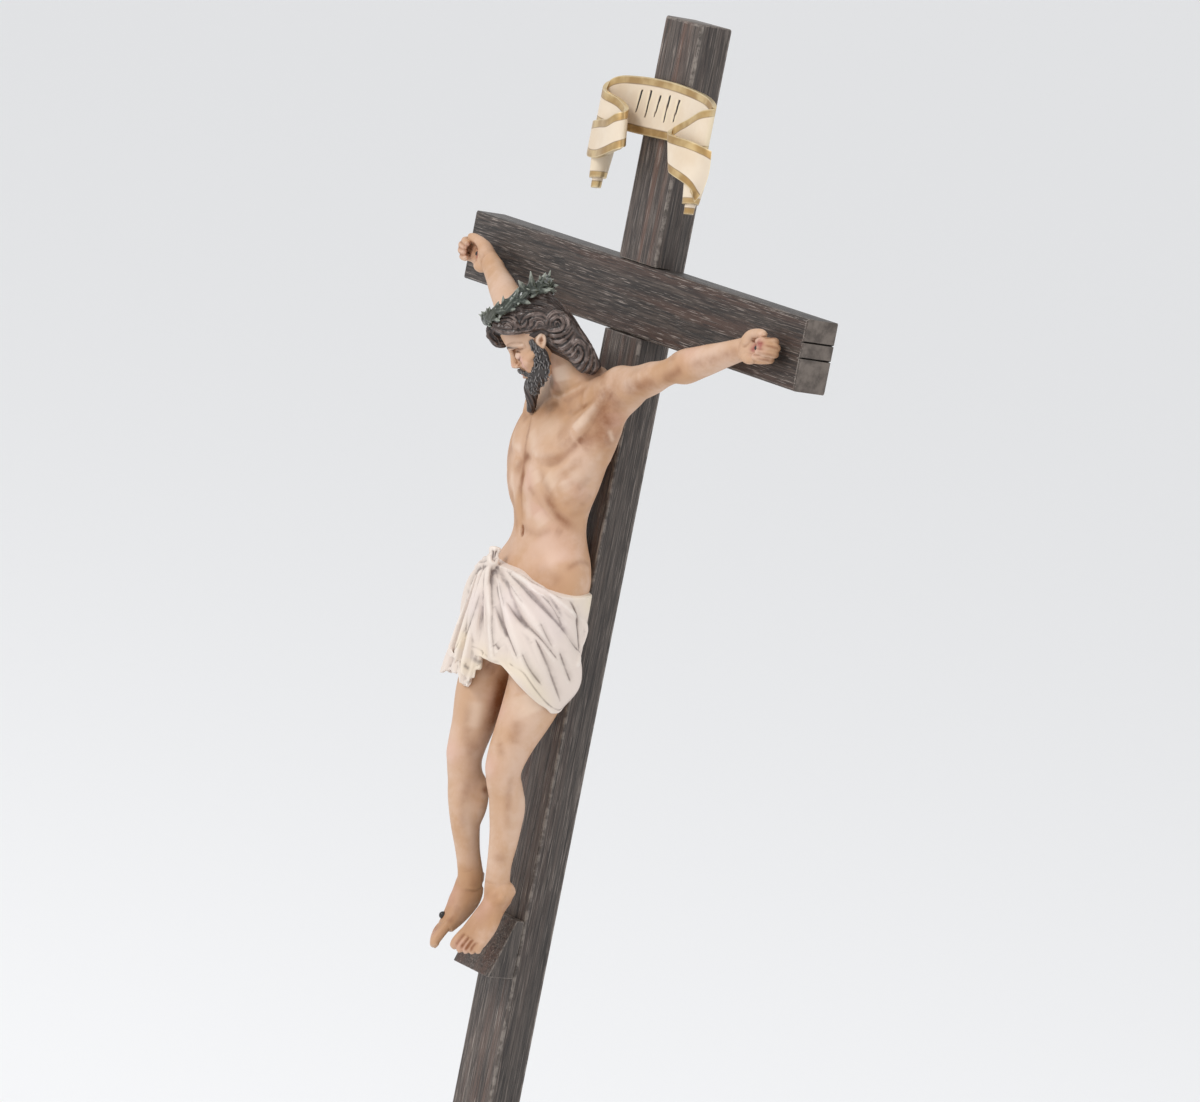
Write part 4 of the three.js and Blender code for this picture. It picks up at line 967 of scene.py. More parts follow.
BESIDE_FACE = [(EAR_HOLE, 0.5, 0.7), (TEMPLE, 1.4, 0.5)]
points, normals = points_of(face), normals_of(face)
tree = tree_of(face)


def on_front(line, side=1):
    """A line [across, up] on one half of the face, laid on its surface from the front."""
    hits = [tree.ray_cast(Vector((side * across, -30, up)), Vector((0, 1, 0)))[0] for across, up in line]
    return np.array([h for h in hits if h is not None])


for line, width, height in SIDE_FEATURES:
    for side in (-1, 1):
        cut(points, normals, on_front(line, side), width, height)
for line, width, height in MIDDLE_FEATURES:
    cut(points, normals, on_front(line), width, height)
for side in (-1, 1):
    cut(points, normals, mirrored_all(EAR_HOLE, side), 0.6, -0.3)
set_points(face, points)
tree = tree_of(face)
for layer, side_strokes in SIDE_PAINT.items():
    strokes = [(on_front(line), width, strength) for line, width, strength in MIDDLE_PAINT[layer]]
    for side in (-1, 1):
        strokes += [(on_front(line, side), width, strength) for line, width, strength in side_strokes]
        if layer == "wash_and_shade":
            strokes += [(mirrored_all(line, side), width, strength) for line, width,
                        strength in BESIDE_FACE]
    paint_on(face, layer, points, strokes)
print("lines carved on the face:", 2 * len(SIDE_FEATURES) + len(MIDDLE_FEATURES) + 2)

# %% [markdown]
# ## Hair and beard
# Carved hair is a mass first and strands second. A cap and a few thick cores give the mass. The locks are
# then carved on it where they are seen: each lock is raised, its edges are cut deep, and fine lines between
# them make its strands. The far side gets the same locks, mirrored in the head's own axes.

# %% Thin tapering strands, as one mesh
def strands_mesh(name, strands, sides=2):
    curve = bpy.data.curves.new(name, "CURVE")
    curve.dimensions = "3D"
    curve.bevel_depth = 1 * MM
    curve.bevel_resolution = sides
    curve.use_fill_caps = True
    for line, radii in strands:
        spline = curve.splines.new("POLY")
        spline.points.add(len(line) - 1)
        flat = np.column_stack([np.asarray(line) * MM, np.ones(len(line))])
        spline.points.foreach_set("co", flat.ravel())
        spline.points.foreach_set("radius", np.asarray(radii, float))
    obj = bpy.data.objects.new(name, curve)
    bpy.context.scene.collection.objects.link(obj)
    select_only(obj)
    bpy.ops.object.convert(target="MESH")
    return bpy.context.object


# %% The mass of the hair
HAIR_CAP = [
    [0, 0.6, 18.6, 5, 6], [0, 0.9, 16.6, 9.6, 12], [0, 1.2, 12.8, 10.9, 13.8], [0, 3.4, 7.6, 11, 13],
    [0, 7.6, 1, 10.8, 10.6], [0, 10.4, -5.6, 10.2, 8.2], [0, 12.4, -12, 9.6, 6.2],
    [0, 13.4, -18, 8.6, 4.8],
    [0, 14.4, -23, 6, 3.2],
]
LOWER_LOCK = [[6.4, -12.2, 14, 2, 1.8], [9, -9.4, 11.2, 2.6, 2], [10.4, -5, 9.2, 2.8, 2.2],
              [10.8, 0, 8, 2.9, 2.2],
              [11.2, 5, 6.4, 3, 2.2], [11.4, 8.4, 1.6, 3, 2.2], [11.2, 8.6, -4.6, 2.8, 2.2],
              [10.6, 9.8, -10.4, 2.8, 2.2], [9.8, 10.2, -15.6, 2.8, 2], [9.2, 11.4, -20, 2.4, 1.8]]
UPPER_LOCK = [[7.4, -8, 14.4, 2.6, 1.6], [10.6, 0, 11.8, 3.2, 1.8], [11.4, 8, 7.4, 3.6, 2],
              [11.4, 12.6, 0, 3.8, 2.2],
              [10.6, 14.2, -8, 3.8, 2.2], [9.6, 14.6, -16, 3.6, 2], [8, 14.8, -21.4, 2.6, 1.8]]
FORELOCK = [[-1, -13.2, 14, 2.2, 2.2], [-3.6, -13.7, 10.8, 3.2, 3.2], [-5.6, -13.3, 7.2, 3.2, 3.3],
            [-7, -11.6, 4.8, 1.8, 2]]
hair_parts = [limb(HAIR_CAP, sides=56, steps=5, dome=0.15, name="cap"), limb(FORELOCK, sides=28, steps=5)]
for side in (-1, 1):
    for rows in (LOWER_LOCK, UPPER_LOCK):
        hair_parts.append(limb(mirrored_all(rows, side), sides=28, steps=5, facing=[side, 0, 0]))
HAIR_VOXEL, HAIR_FINE_VOXEL = 0.45, 0.28
hair = fused("hair", hair_parts, voxel=HAIR_VOXEL, soften=5)
apply_modifier(hair, "REMESH", mode="VOXEL", voxel_size=HAIR_FINE_VOXEL * MM, adaptivity=0)
place_head(hair)
print("hair mass:", triangles(hair), "triangles")

# %% [markdown]
# The locks follow the carved hair on the near side. Widths are in millimetres, so a lock that is drawn in
# the picture is spread sideways by the scale of the picture at the head.

# %% Locks as they are seen: (path in the picture, width in millimetres, how many strands)
PIXELS_PER_MM = PIXELS_PER_UNIT * MM / CAMERA_PLACE.length
LOCKS_SEEN = [
    ([[495.5, 329], [503.5, 332.5], [514, 333.5], [525, 332], [535.5, 329.5], [541.5, 328]], 2.2, 3),
    ([[498, 325.5], [501.5, 321], [508, 320], [514, 323.5], [516, 328.5], [513, 332], [506.5, 332]], 1.7,
     3),
    ([[503.5, 326.5], [507, 324.5], [511, 326], [511.5, 329.5]], 1.2, 2),
    ([[504.5, 317], [511, 317], [515, 320], [518, 325.5], [521, 329.5], [527, 330.5]], 1.6, 3),
    ([[515, 313], [514, 318], [516.5, 324.5], [522, 326.5], [526, 323.5], [527, 319]], 1.5, 3),
    ([[521, 325.5], [523, 320], [528, 316], [535.5, 313.5], [542.5, 314.5], [548, 319.5]], 2.0, 4),
    ([[527, 330.5], [530, 325.5], [531, 320], [535.5, 317], [541.5, 318], [545, 322]], 1.9, 3),
    ([[531, 329.5], [535.5, 326.5], [537.5, 322], [541.5, 322], [544.5, 325.5]], 1.3, 2),
    ([[546, 325.5], [548, 318], [553.5, 312.5], [561, 312.5], [567, 317], [568.5, 324.5], [565, 330.5]],
     2.2, 4),
    ([[550.5, 326.5], [551, 321], [555.5, 317], [561, 318], [563.5, 323.5], [561.5, 328.5],
      [555.5, 330.5],
      [549.5, 330.5], [543.5, 328]], 2.0, 4),
    ([[555.5, 326.5], [555, 323], [558.5, 321.5], [560.5, 325], [558.5, 328]], 1.1, 2),
    ([[541.5, 330.5], [547.5, 334.5], [554.5, 336], [562, 334.5], [568, 330.5], [571, 325.5]], 2.0, 3),
    ([[550.5, 335.5], [552.5, 340.5], [559, 341.5], [565, 338.5], [570, 333.5], [573, 329.5]], 2.0, 3),
    ([[550.5, 340.5], [554.5, 346.5], [562, 349], [568, 345.5], [572, 340.5], [575, 334.5]], 2.2, 4),
    ([[558, 350], [564, 353], [570, 351], [573, 344.5], [578, 340.5], [583.5, 344.5], [584.5, 351]], 2.2,
     4),
    ([[565, 355], [571, 356], [575, 351], [579, 348], [581.5, 353], [580, 359], [575, 362],
      [570.5, 360]], 2.0, 4),
    ([[570, 363], [573, 369], [578, 370], [583.5, 365], [586.5, 358], [587, 350], [583.5, 341.5]], 2.2,
     4),
    ([[574, 371], [579, 375], [585.5, 373.5], [589.5, 367], [591, 359], [589.5, 350], [584.5, 338.5]],
     2.2, 4),
    ([[583.5, 375.5], [589.5, 375.5], [594.5, 371], [596.5, 364], [593.5, 354], [588.5, 341.5]], 2.0, 3),
]
FINE_STRANDS_SEEN = [
    [[514, 311], [523, 306], [533.5, 305], [543.5, 308], [549.5, 313]],
    [[523, 303], [533.5, 301], [543.5, 302], [553.5, 306], [562, 312], [568, 318]],
    [[527, 298.5], [539.5, 296], [551.5, 300], [561, 307], [569, 316], [576, 325.5]],
    [[535.5, 295], [547.5, 293.5], [556.5, 298], [565, 307], [573, 317], [581, 330.5]],
    [[543.5, 291.5], [552.5, 291.5], [560, 298], [568, 308], [576, 319], [584.5, 333.5], [588.5, 343.5]],
    [[551.5, 289.5], [559, 294.5], [565, 304], [574, 316], [582, 328.5], [589.5, 341.5], [593.5, 354]],
    [[558, 290.5], [566, 302], [576, 317], [585.5, 331.5], [593.5, 348], [597.5, 360]],
    [[511, 315], [518, 310.5], [527, 309], [537.5, 310.5], [545.5, 314]],
]
FORELOCK_SEEN = [
    [[494, 325.5], [489.5, 330.5], [488.5, 336.5], [492.5, 341.5], [497, 344.5], [498, 350]],
    [[492, 323.5], [487, 329.5], [487.5, 335.5], [492, 338.5], [495.5, 341.5], [496.5, 349]],
    [[495, 330.5], [492, 333.5], [494, 337.5], [498, 340.5], [499.5, 346.5]],
]
FORELOCK_STRANDS, TOP_STRANDS = 11, 30

def beside(path, offset, wobble=0, phase=0):
    """The same path in the picture, moved to its side by offset millimetres, less at its ends."""
    path = smooth_rows(path, 5)
    offset = offset + wobble * np.sin(np.linspace(0, 9, len(path)) + phase)
    way = unit(np.gradient(path, axis=0))
    side = np.column_stack([-way[:, 1], way[:, 0]])
    spread = np.sin(np.pi * np.linspace(0.08, 0.92, len(path))) ** 0.5
    return path + side * (offset * PIXELS_PER_MM * spread)[:, None]


def head_mirror(tree, line):
    return on_surface(tree, from_head(to_head(line) * [-1, 1, 1]))


def on_both(tree, path):
    near = seen_line(tree, path)
    near = near[np.abs(to_head(near)[:, 0] - 9) < 9] if len(near) else near
    return [near, head_mirror(tree, near)] if len(near) > 2 else []


def carve_hair(obj):
    tree = tree_of(obj)
    points, normals = points_of(obj), normals_of(obj)
    start, light = points.copy(), []
    rng = np.random.default_rng(5)
    for path, width, _ in LOCKS_SEEN:
        for line in on_both(tree, beside(path, 0)):
            cut(points, normals, line, width * 0.55, 0.55, steps=2)
        for edge in (-0.6, 0.6):
            for line in on_both(tree, beside(path, edge * width)):
                cut(points, normals, line, 0.36, -0.42, steps=2)
        count = max(2, int(width / 0.5))
        for offset in np.linspace(-0.38, 0.38, count) * width + rng.uniform(-0.1, 0.1, count):
            phase = rng.uniform(0, 6)
            for line in on_both(tree, beside(path, offset, 0.14, phase)):
                cut(points, normals, line, 0.26, -0.3, steps=2)
            # Lighter paint beside each strand: dry-brushing, and a painted highlight.
            light += [(line, 0.17, 0.9) for line in on_both(tree,
                    beside(path, offset + 0.25, 0.14, phase))]
    for path in FINE_STRANDS_SEEN:
        for offset in (-1.6, -0.9, -0.2, 0.6, 1.3):
            for line in on_both(tree, beside(path, offset + rng.uniform(-0.2, 0.2))):
                cut(points, normals, line, 0.3, -0.22, steps=2)
            light += [(line, 0.22, 0.6) for line in on_both(tree, beside(path, offset + 0.35))[:1]]
    for path in FORELOCK_SEEN:
        for offset, width, height in ((0, 0.9, 0.5), (0.9, 0.4, -0.6), (-0.9, 0.4, -0.6),
                                      (0.1, 0.3, -0.35)):
            line = seen_line(tree, beside(path, offset))
            if len(line) > 2:
                cut(points, normals, line, width, height, steps=2)
    middle = smooth_rows(np.array(FORELOCK), 5)
    for k in range(FORELOCK_STRANDS):
        turn_by = k / FORELOCK_STRANDS * 2 * math.pi + np.linspace(0, 1.8, len(middle))
        circle = np.column_stack([np.cos(turn_by), np.sin(turn_by), 0 * turn_by])
        line = on_surface(tree, from_head(middle[:, :3] + (middle[:, 3] + 0.3)[:, None] * circle))
        cut(points, normals, line, 0.42, -0.5, steps=2)
        light.append((line, 0.25, 0.3))
    for x in np.linspace(-1, 8.5, 12):
        row = [[x * 0.8, -16, 7], [x * 0.95, -15.6, 10], [x, -15, 13], [x * 0.9, -13, 17]]
        cut(points, normals, on_surface(tree, from_head(row)), 0.4, -0.4, steps=4)
    for x in np.linspace(-8.4, 8.4, 15):
        wave = 1.1 * math.sin(x * 2.1)
        row = [[x, 13, 14], [x * 1.05 + wave, 19, 4], [x * 1.05, 20, -5], [x + wave, 19.4, -13],
               [x * 0.9, 17, -22]]
        cut(points, normals, on_surface(tree, from_head(smooth_rows(row, 5))), 0.5, -0.5, steps=1)
    for k in range(TOP_STRANDS):
        turn_by = k / TOP_STRANDS * 2 * math.pi
        row = [[r * math.sin(turn_by + 0.02 * r) * 0.85, 3 - r * math.cos(turn_by + 0.02 * r), 22]
               for r in (1.5, 4, 7, 10, 13)]
        cut(points, normals, on_surface(tree, from_head(row)), 0.42, -0.35, steps=4)
    put_attribute(obj, "painted_light", painted_along(start, light))
    set_points(obj, points)


carve_hair(hair)
flat_back(hair)

# %% [markdown]
# One lock falls free in front of the far shoulder. A few strands twisted round a thin core make it.

# %% The lock that falls in front of the far shoulder
FAR_LOCK = [[-12, -43, -33, 2.6, 2.2], [-12, -44.6, -40, 2.6, 2.2], [-11.4, -44.6, -46.4, 2.4, 2],
            [-12.4, -43, -53, 1.9, 1.7]]
LOCK_STRANDS, LOCK_VOXEL = 7, 0.3
lock_strands = []
for i in range(LOCK_STRANDS):
    rows = smooth_rows(np.array(FAR_LOCK)[:, :3], 8)
    share = np.linspace(0, 1, len(rows))
    twist = i / LOCK_STRANDS * 2 * math.pi + share * 4.4
    width = 2.5 * np.sin(np.pi * np.clip(share * 0.72 + 0.2, 0, 1))
    rows[:, 0] += width * np.cos(twist) + 0.7 * np.sin(share * 9)
    rows[:, 1] += width * np.sin(twist)
    lock_strands.append((rows, 0.85 * np.sin(np.pi * np.clip(share * 0.8 + 0.18, 0, 1)) ** 0.5))
lock_core = limb([[*row[:3], row[3] * 0.95, row[4] * 0.95] for row in FAR_LOCK], sides=20, steps=5)
far_lock = fused("far_lock", [lock_core, strands_mesh("lock_strands", lock_strands)], voxel=LOCK_VOXEL,
                 soften=1)
hair = joined("hair", [hair, far_lock])
shade_smooth(hair)
print("hair:", triangles(hair), "triangles")

# %% [markdown]
# The beard is carved as short overlapping tufts. A cover along the jaw gives its mass, and a few hundred
# strands stand off it. The draws are seeded, so it is the same beard each time.

# %% Beard: a cover along the jaw, a moustache, and short strands that stand off both
JAW_SIDE = [[9.4, -2, 1.6, 0.6, 0.5], [9.6, -1.9, -0.4, 0.9, 0.7], [9.5, -1.6, -2.8, 1.4, 1],
            [8.8, -1, -5.2, 2.4, 1.2], [7.7, -2.4, -8.2, 3.2, 1.4], [6.2, -4.8, -11, 3.5, 1.7],
            [4.3, -7.6, -13, 3.2, 2.1], [2, -9.4, -13.9, 2.8, 2.3]]
BEARD_POINTS = [[2.2, -10.2, -14.4, 2.1, 2.1], [1.8, -10.7, -16.2, 1.5, 1.6],
                [1.6, -10.6, -17.6, 0.8, 0.8]]
MOUSTACHE = [[0.5, -12.6, -6.9, 0.4, 0.45], [2.3, -12.1, -7.3, 0.6, 0.55], [3.8, -11.1, -8.5, 0.7, 0.6],
             [4.8, -9.9, -10.8, 0.8, 0.8]]
beard_parts = [ball([0, -10.4, -14], [4.3, 2.6, 2.5], detail=28)]
moustache = []
for side in (-1, 1):
    beard_parts.append(limb(mirrored_all(JAW_SIDE, side), sides=28, steps=5, facing=[side, 0, 0]))
    beard_parts.append(limb(mirrored_all(BEARD_POINTS, side), sides=20, steps=5))
    moustache.append(limb(mirrored_all(MOUSTACHE, side), sides=20, steps=5))
BEARD_VOXEL = 0.22
TUFTS_ON_SMALL_PART, TUFTS_ON_LARGE_PART, LARGE_PART = 150, 260, 700
TUFTS_ON_MOUSTACHE = 70
rng = np.random.default_rng(11)
tufts = []
for part in beard_parts:
    start, out = points_of(part), normals_of(part)
    wanted = TUFTS_ON_SMALL_PART if len(start) < LARGE_PART else TUFTS_ON_LARGE_PART
    choice = rng.choice(len(start), size=min(len(start), wanted), replace=False)
    for k in choice:
        place, normal = start[k], out[k]
        if place[1] > 0.5 or (place[1] > -3 and abs(place[0]) < 7):
            continue
        side = 1 if place[0] > 0 else -1
        way = unit(np.array([0.1 * side, -0.5, -1]) + 0.5 * normal + rng.uniform(-0.35, 0.35, 3))
        length = rng.uniform(1.4, 2.4)
        t = np.linspace(0, 1, 6)
        bend = unit(np.cross(way, normal)) * rng.uniform(-0.8, 0.8) - 0.5 * normal
        tufts.append((place + np.outer(t * length, way) + np.outer(t * t, bend),
                      0.4 * (1 - 0.7 * t ** 1.5)))
for part in moustache:
    start, out = points_of(part), normals_of(part)
    for k in rng.choice(len(start), size=TUFTS_ON_MOUSTACHE, replace=False):
        side = 1 if start[k][0] > 0 else -1
        way = unit(np.array([0.8 * side, 0.15, -0.75]) + 0.35 * out[k] + rng.uniform(-0.25, 0.25, 3))
        t = np.linspace(0, 1, 5)
        tufts.append((start[k] + np.outer(t * rng.uniform(0.9, 1.6), way), 0.3 * (1 - 0.7 * t)))
beard = fused("beard", [*beard_parts, *moustache, strands_mesh("tufts", tufts, sides=1)],
              voxel=BEARD_VOXEL, soften=1)
print("beard:", triangles(beard), "triangles,", len(tufts), "tufts")
for piece in (face, beard):
    place_head(piece)

# %% [markdown]
# ## Crown of thorns
# Short spindles cross each other in two rows round a ring, as twisted twigs do, and thick thorns stand out
# between them. The ring sits low on the forehead and high at the back of the head.

# %% Crown
CROWN_MIDDLE = [0, 1.0, 17]
CROWN_LEAN = 0.13
CROWN_HALF = [12.2, 14.0]


def crown_place(turn_by, lift, out):
    x = (CROWN_HALF[0] + out) * np.sin(turn_by)
    y = -(CROWN_HALF[1] + out) * np.cos(turn_by)
    return np.array([CROWN_MIDDLE[0] + x, CROWN_MIDDLE[1] + y, CROWN_MIDDLE[2] + lift + CROWN_LEAN * x])


CROWN_VOXEL = 0.3
CORE_RADIUS = 1.2
SPINDLES = 24
SPINDLE_RADIUS = 1.6
CORE_POINTS = 121
steps_round = [k / (CORE_POINTS - 1) * 2 * math.pi for k in range(CORE_POINTS)]
core = [crown_place(turn_by, 0.5 * math.sin(k * 0.4), 0) for k, turn_by in enumerate(steps_round)]
stems = [(core, np.full(CORE_POINTS, CORE_RADIUS))]
t = np.linspace(-1, 1, 13)
for k in range(SPINDLES):
    middle = (k + 0.3 * math.sin(k * 1.7)) / SPINDLES * 2 * math.pi
    rising = 1 if k % 2 else -1
    span = 0.4 + 0.05 * math.sin(k * 2.9)
    flare = 1.5 + 0.6 * math.sin(k * 1.3)
    line = []
    for q in t:
        lift = rising * (2.3 * q + flare * max(q - 0.55, 0) * 2) + 0.5 * math.sin(k * 3.1)
        line.append(crown_place(middle + span * q, lift, 1.0 - 0.7 * q * q + 1.6 * max(q - 0.6, 0) * 2))
    stems.append((line, SPINDLE_RADIUS * (1 - np.abs(t) ** 2.6) ** 0.8 * (1 + 0.12 * math.sin(k * 5.3))
                  + 0.16))
BACK_THORNS = [dict(share=0.31, lift=6.6, lean=-0.12), dict(share=0.345, lift=7.4, lean=0.03),
               dict(share=0.375, lift=4.2, lean=0.24),
               dict(share=0.355, lift=-3.6, lean=0.2), dict(share=0.09, lift=5, lean=0.05),
               dict(share=0.69, lift=5.4, lean=0.1)]
thorns = []
for thorn in BACK_THORNS:
    turn_by = thorn["share"] * 2 * math.pi
    start = crown_place(turn_by, thorn["lift"] * 0.1, 0)
    tip = crown_place(turn_by + thorn["lean"], thorn["lift"], 4 - 1.4 * math.cos(turn_by))
    thorns.append(([start, start + (tip - start) * 0.45, start + (tip - start) * 0.96], [2.3, 1.2, 0.22]))
SMALL_THORNS = 24
for k in range(SMALL_THORNS):
    turn_by = (k + 0.4 * math.sin(k * 2.3)) / SMALL_THORNS * 2 * math.pi
    lift = [3.4, -2, 3.9, 1.4, -2.6][k % 5]
    start = crown_place(turn_by, lift * 0.3, 0.5)
    tip = crown_place(turn_by + (0.13 if k % 2 else -0.13), lift * 1.25, 3.3 - 0.8 * math.cos(turn_by))
    thorns.append(([start, start + (tip - start) * 0.5, tip], [1.3, 0.75, 0.16]))
crown = fused("crown_of_thorns", [strands_mesh("stems", stems, sides=3),
                                  strands_mesh("thorns", thorns, sides=2)],
              voxel=CROWN_VOXEL, soften=1)
place_head(crown)
CROWN_FRONT, CROWN_EASE = -72.2, 2.2
points = points_of(crown)
over = np.maximum(CROWN_FRONT - points[:, 1], 0)
points[:, 1] = np.maximum(points[:, 1], CROWN_FRONT) - CROWN_EASE * np.tanh(over / CROWN_EASE / 1.6)
set_points(crown, points)
print("crown:", triangles(crown), "triangles")

# %% [markdown]
# ## Loincloth
# The cloth is carved with the figure: one thick wrap, a knot in front of the far hip, and a tail with box
# pleats. All folds run to the knot. Their lines are set where they are seen on the front, and are then cut
# twice, once wide and soft, once narrow and deep, as a gouge and a parting tool would do it.

# %% Wrap
KNOT = [-6.0, -51.5, -116.0]
WRAP_SQUARE = 2.6
WRAP = [
    [0, -32.2, -116, 29.8, 17.4], [0, -32.8, -122, 30.8, 18], [0, -33.2, -131, 31.4, 18.6],
    [0, -33.4, -141, 31.2, 18.8], [0.5, -33.8, -150, 29.4, 18.2], [0.6, -34.6, -158.5, 25.2, 16.6],
]
HEM_RIM = [[-0.2, -0.9, -0.4], [0.9, -2.1, 0], [3.6, -3.2, 0]]


def wrap_drop(angle, share):
    top_dip = 5.5 * ramp(angle, 0.1, 1) - 1.5 * ramp(angle, 1.3, 2.2) + 3 * ramp(-angle, 0.8, 2)
    to_near = -4.6 + 15.8 * np.clip((angle - 0.5) / 1.3, 0, 1) - 6 * ramp(angle, 2, 3.1)
    far_rise = 5.6 * ramp(-angle, 0.6, 1.4) + 5 * ramp(-angle, 2.2, 3.1)
    to_far = -4.6 - 2 * bump(angle + 0.45, 0.3) + far_rise
    return top_dip * (1 - share) + np.where(angle > 0, to_near, to_far) * share


def make_wrap():
    rows = smooth_rows(WRAP, 7)
    shares = np.linspace(0, 1, len(rows))
    for rise, narrower, _ in HEM_RIM:
        rows = np.vstack([rows, rows[len(shares) - 1] + [0, 0, rise, narrower, narrower]])
    shares = np.concatenate([shares, np.ones(len(HEM_RIM))])
    count = len(rows)
    obj, start, ring, k = ringed_sphere(160, count, "wrap")
    turn_by = np.arctan2(start[:, 0], -start[:, 1])
    angle = turn_by - 0.24 * np.sin(turn_by)
    x, y = np.sin(angle), -np.cos(angle)
    power = 2 / WRAP_SQUARE
    points = np.column_stack([
        rows[k, 0] + rows[k, 3] * np.sign(x) * np.abs(x) ** power,
        rows[k, 1] + rows[k, 4] * np.sign(y) * np.abs(y) ** power,
        rows[k, 2] - wrap_drop(angle, shares[k]),
    ])
    out = np.column_stack([x, y, 0 * x])
    edge = -120 - 20 * np.maximum(angle - 0.9, 0) ** 1.3
    overlap = ramp(edge - points[:, 2], -0.6, 0.9) * (1 - ramp(np.abs(angle), 2.2, 2.5))
    around = (angle + 0.22) * 27
    down = np.maximum(KNOT[2] - points[:, 2] + 5, 0.5)
    direction = np.arctan2(around, down) / (math.pi / 2)
    folds = np.where(around > 0, 5, 2.5)
    strength = ramp(np.hypot(around, down), 3, 18) * (1 - 0.6 * ramp(shares[k], 0.92, 1)) * overlap
    points += out * (1.5 * overlap + 1.5 * strength * np.sin(direction * folds * 2 * math.pi + 1.2))[:,
            None]
    points[ring < 0] = [0, -32.5, -112]
    points[ring >= count] = rows[-1, :3] + [0, 0, 3]
    set_points(obj, points)
    return obj


# %% [markdown]
# The knot is a ball with a bud above it and three loops behind. The tail is a flat sheet folded to and fro,
# which gives its box pleats and its stepped hem.

# %% Knot, loops, the fold that hangs from it, and the tail
TAIL = [
    [-9, -51.2, -119, 4.4, 2], [-10.5, -51.6, -132, 6, 1.5], [-11.5, -52.2, -146, 8.4, 1.2],
    [-11.4, -53, -158.5, 10.4, 1],
]
TAIL_PLEATS = 2.5
PLEAT_DEPTH = 2.3
HEM_STEP = 2.6
UNDER_TAIL = [[-10.4, -50.6, -140, 6, 1.2], [-9.8, -51, -154, 7.2, 1.1], [-9.2, -51.6, -166.5, 7.6, 1]]
BACK_TAIL = [[-16, -49, -136, 4, 1.3], [-19.5, -49.4, -146, 6.4, 1.2], [-22.4, -50.2, -157, 8.4, 1.1],
             [-23.6, -51, -164.5, 9, 1]]


def sharper(value, amount=2.2):
    return np.tanh(amount * value) / np.tanh(amount)


def make_tail(stations, pleats, depth, hem_step, lean):
    """A flat hanging sheet, folded to and fro across its width, with a stepped hem."""
    rows = smooth_rows(stations, 8)
    count = len(rows)
    obj, start, ring, k = ringed_sphere(120, count, "tail")
    share = k / (count - 1)
    angle = np.arctan2(start[:, 1], start[:, 0])
    across = np.cos(angle)
    pleat = depth * (0.3 + 0.7 * share) * sharper(np.sin(across * pleats * math.pi))
    hem = hem_step * share ** 2 * sharper(np.sin(across * pleats * math.pi + 1.2), 1.4)
    points = np.column_stack([
        rows[k, 0] + rows[k, 3] * across,
        rows[k, 1] - across * share + rows[k, 4] * sharper(np.sin(angle), 1.5) + pleat,
        rows[k, 2] - lean * (0.4 + 0.6 * share) * across - hem,
    ])
    points[ring < 0] = rows[0, :3] + [0, 0, 0.6]
    points[ring >= count] = rows[-1, :3] + [0, 0, 0.8]
    set_points(obj, points)
    return obj


def make_knot():
    x, y, z = KNOT
    parts = [
        limb([[-4.9, -50.8, -114.4, 2.4, 2.2], [-5.6, -50.8, -112.4, 1.8, 1.8],
              [-6, -50.8, -110.8, 2.9, 2.4],
              [-6.2, -50.7, -109.2, 2.7, 2.1]], sides=20, dome=0.15),
        ball(KNOT, [3.8, 3.2, 4], detail=28),
        limb([[x, y, z, 2.4, 2], [-6.4, -53, -128, 2.6, 2.2], [-6, -53.4, -141, 2.7, 2.1],
              [-3.4, -50.8, -151, 2.2, 1.7],
              [-1, -50.4, -159, 1.2, 1.2]], sides=28, steps=5),
        limb([[x, y - 1, z + 1, 1.6, 1.4], [-3.4, -53.4, -121, 1.5, 1.3], [-1.4, -52.4, -134, 1.2, 1.1],
              [2.4, -50.8, -148, 0.9, 0.9]], sides=20, steps=5),
        make_tail(TAIL, TAIL_PLEATS, PLEAT_DEPTH, HEM_STEP, 3), make_tail(UNDER_TAIL, 1.5, 1.2, 2, 2),
        make_tail(BACK_TAIL, 2, 1, 1.6, -1.5),
    ]
    for i in (0, 1, 2):
        parts.append(limb([
            [x, y, z - i * 1.5, 2, 1.8], [-12 - i * 0.8, -52 + i, -117.8 - i * 2.6, 2.2, 1.5],
            [-18.6 - i * 0.7, -49 + i, -123.4 - i * 3.2, 2.4, 1.7],
            [-22.4 + i, -44.5, -131.5 - i, 1.9, 1.7],
        ], sides=24, steps=5))
    return parts


CLOTH_VOXEL = 0.5
loincloth = fused("loincloth", [make_wrap(), *make_knot()], voxel=CLOTH_VOXEL, soften=3)
print("loincloth blocked out:", triangles(loincloth), "triangles")

# %% [markdown]
# The folds run from the knot over the hip. Antique paint has stayed in them, and painted shade lies beside
# them and in the openings of the hem, so each line is kept as an attribute that the finish reads later.

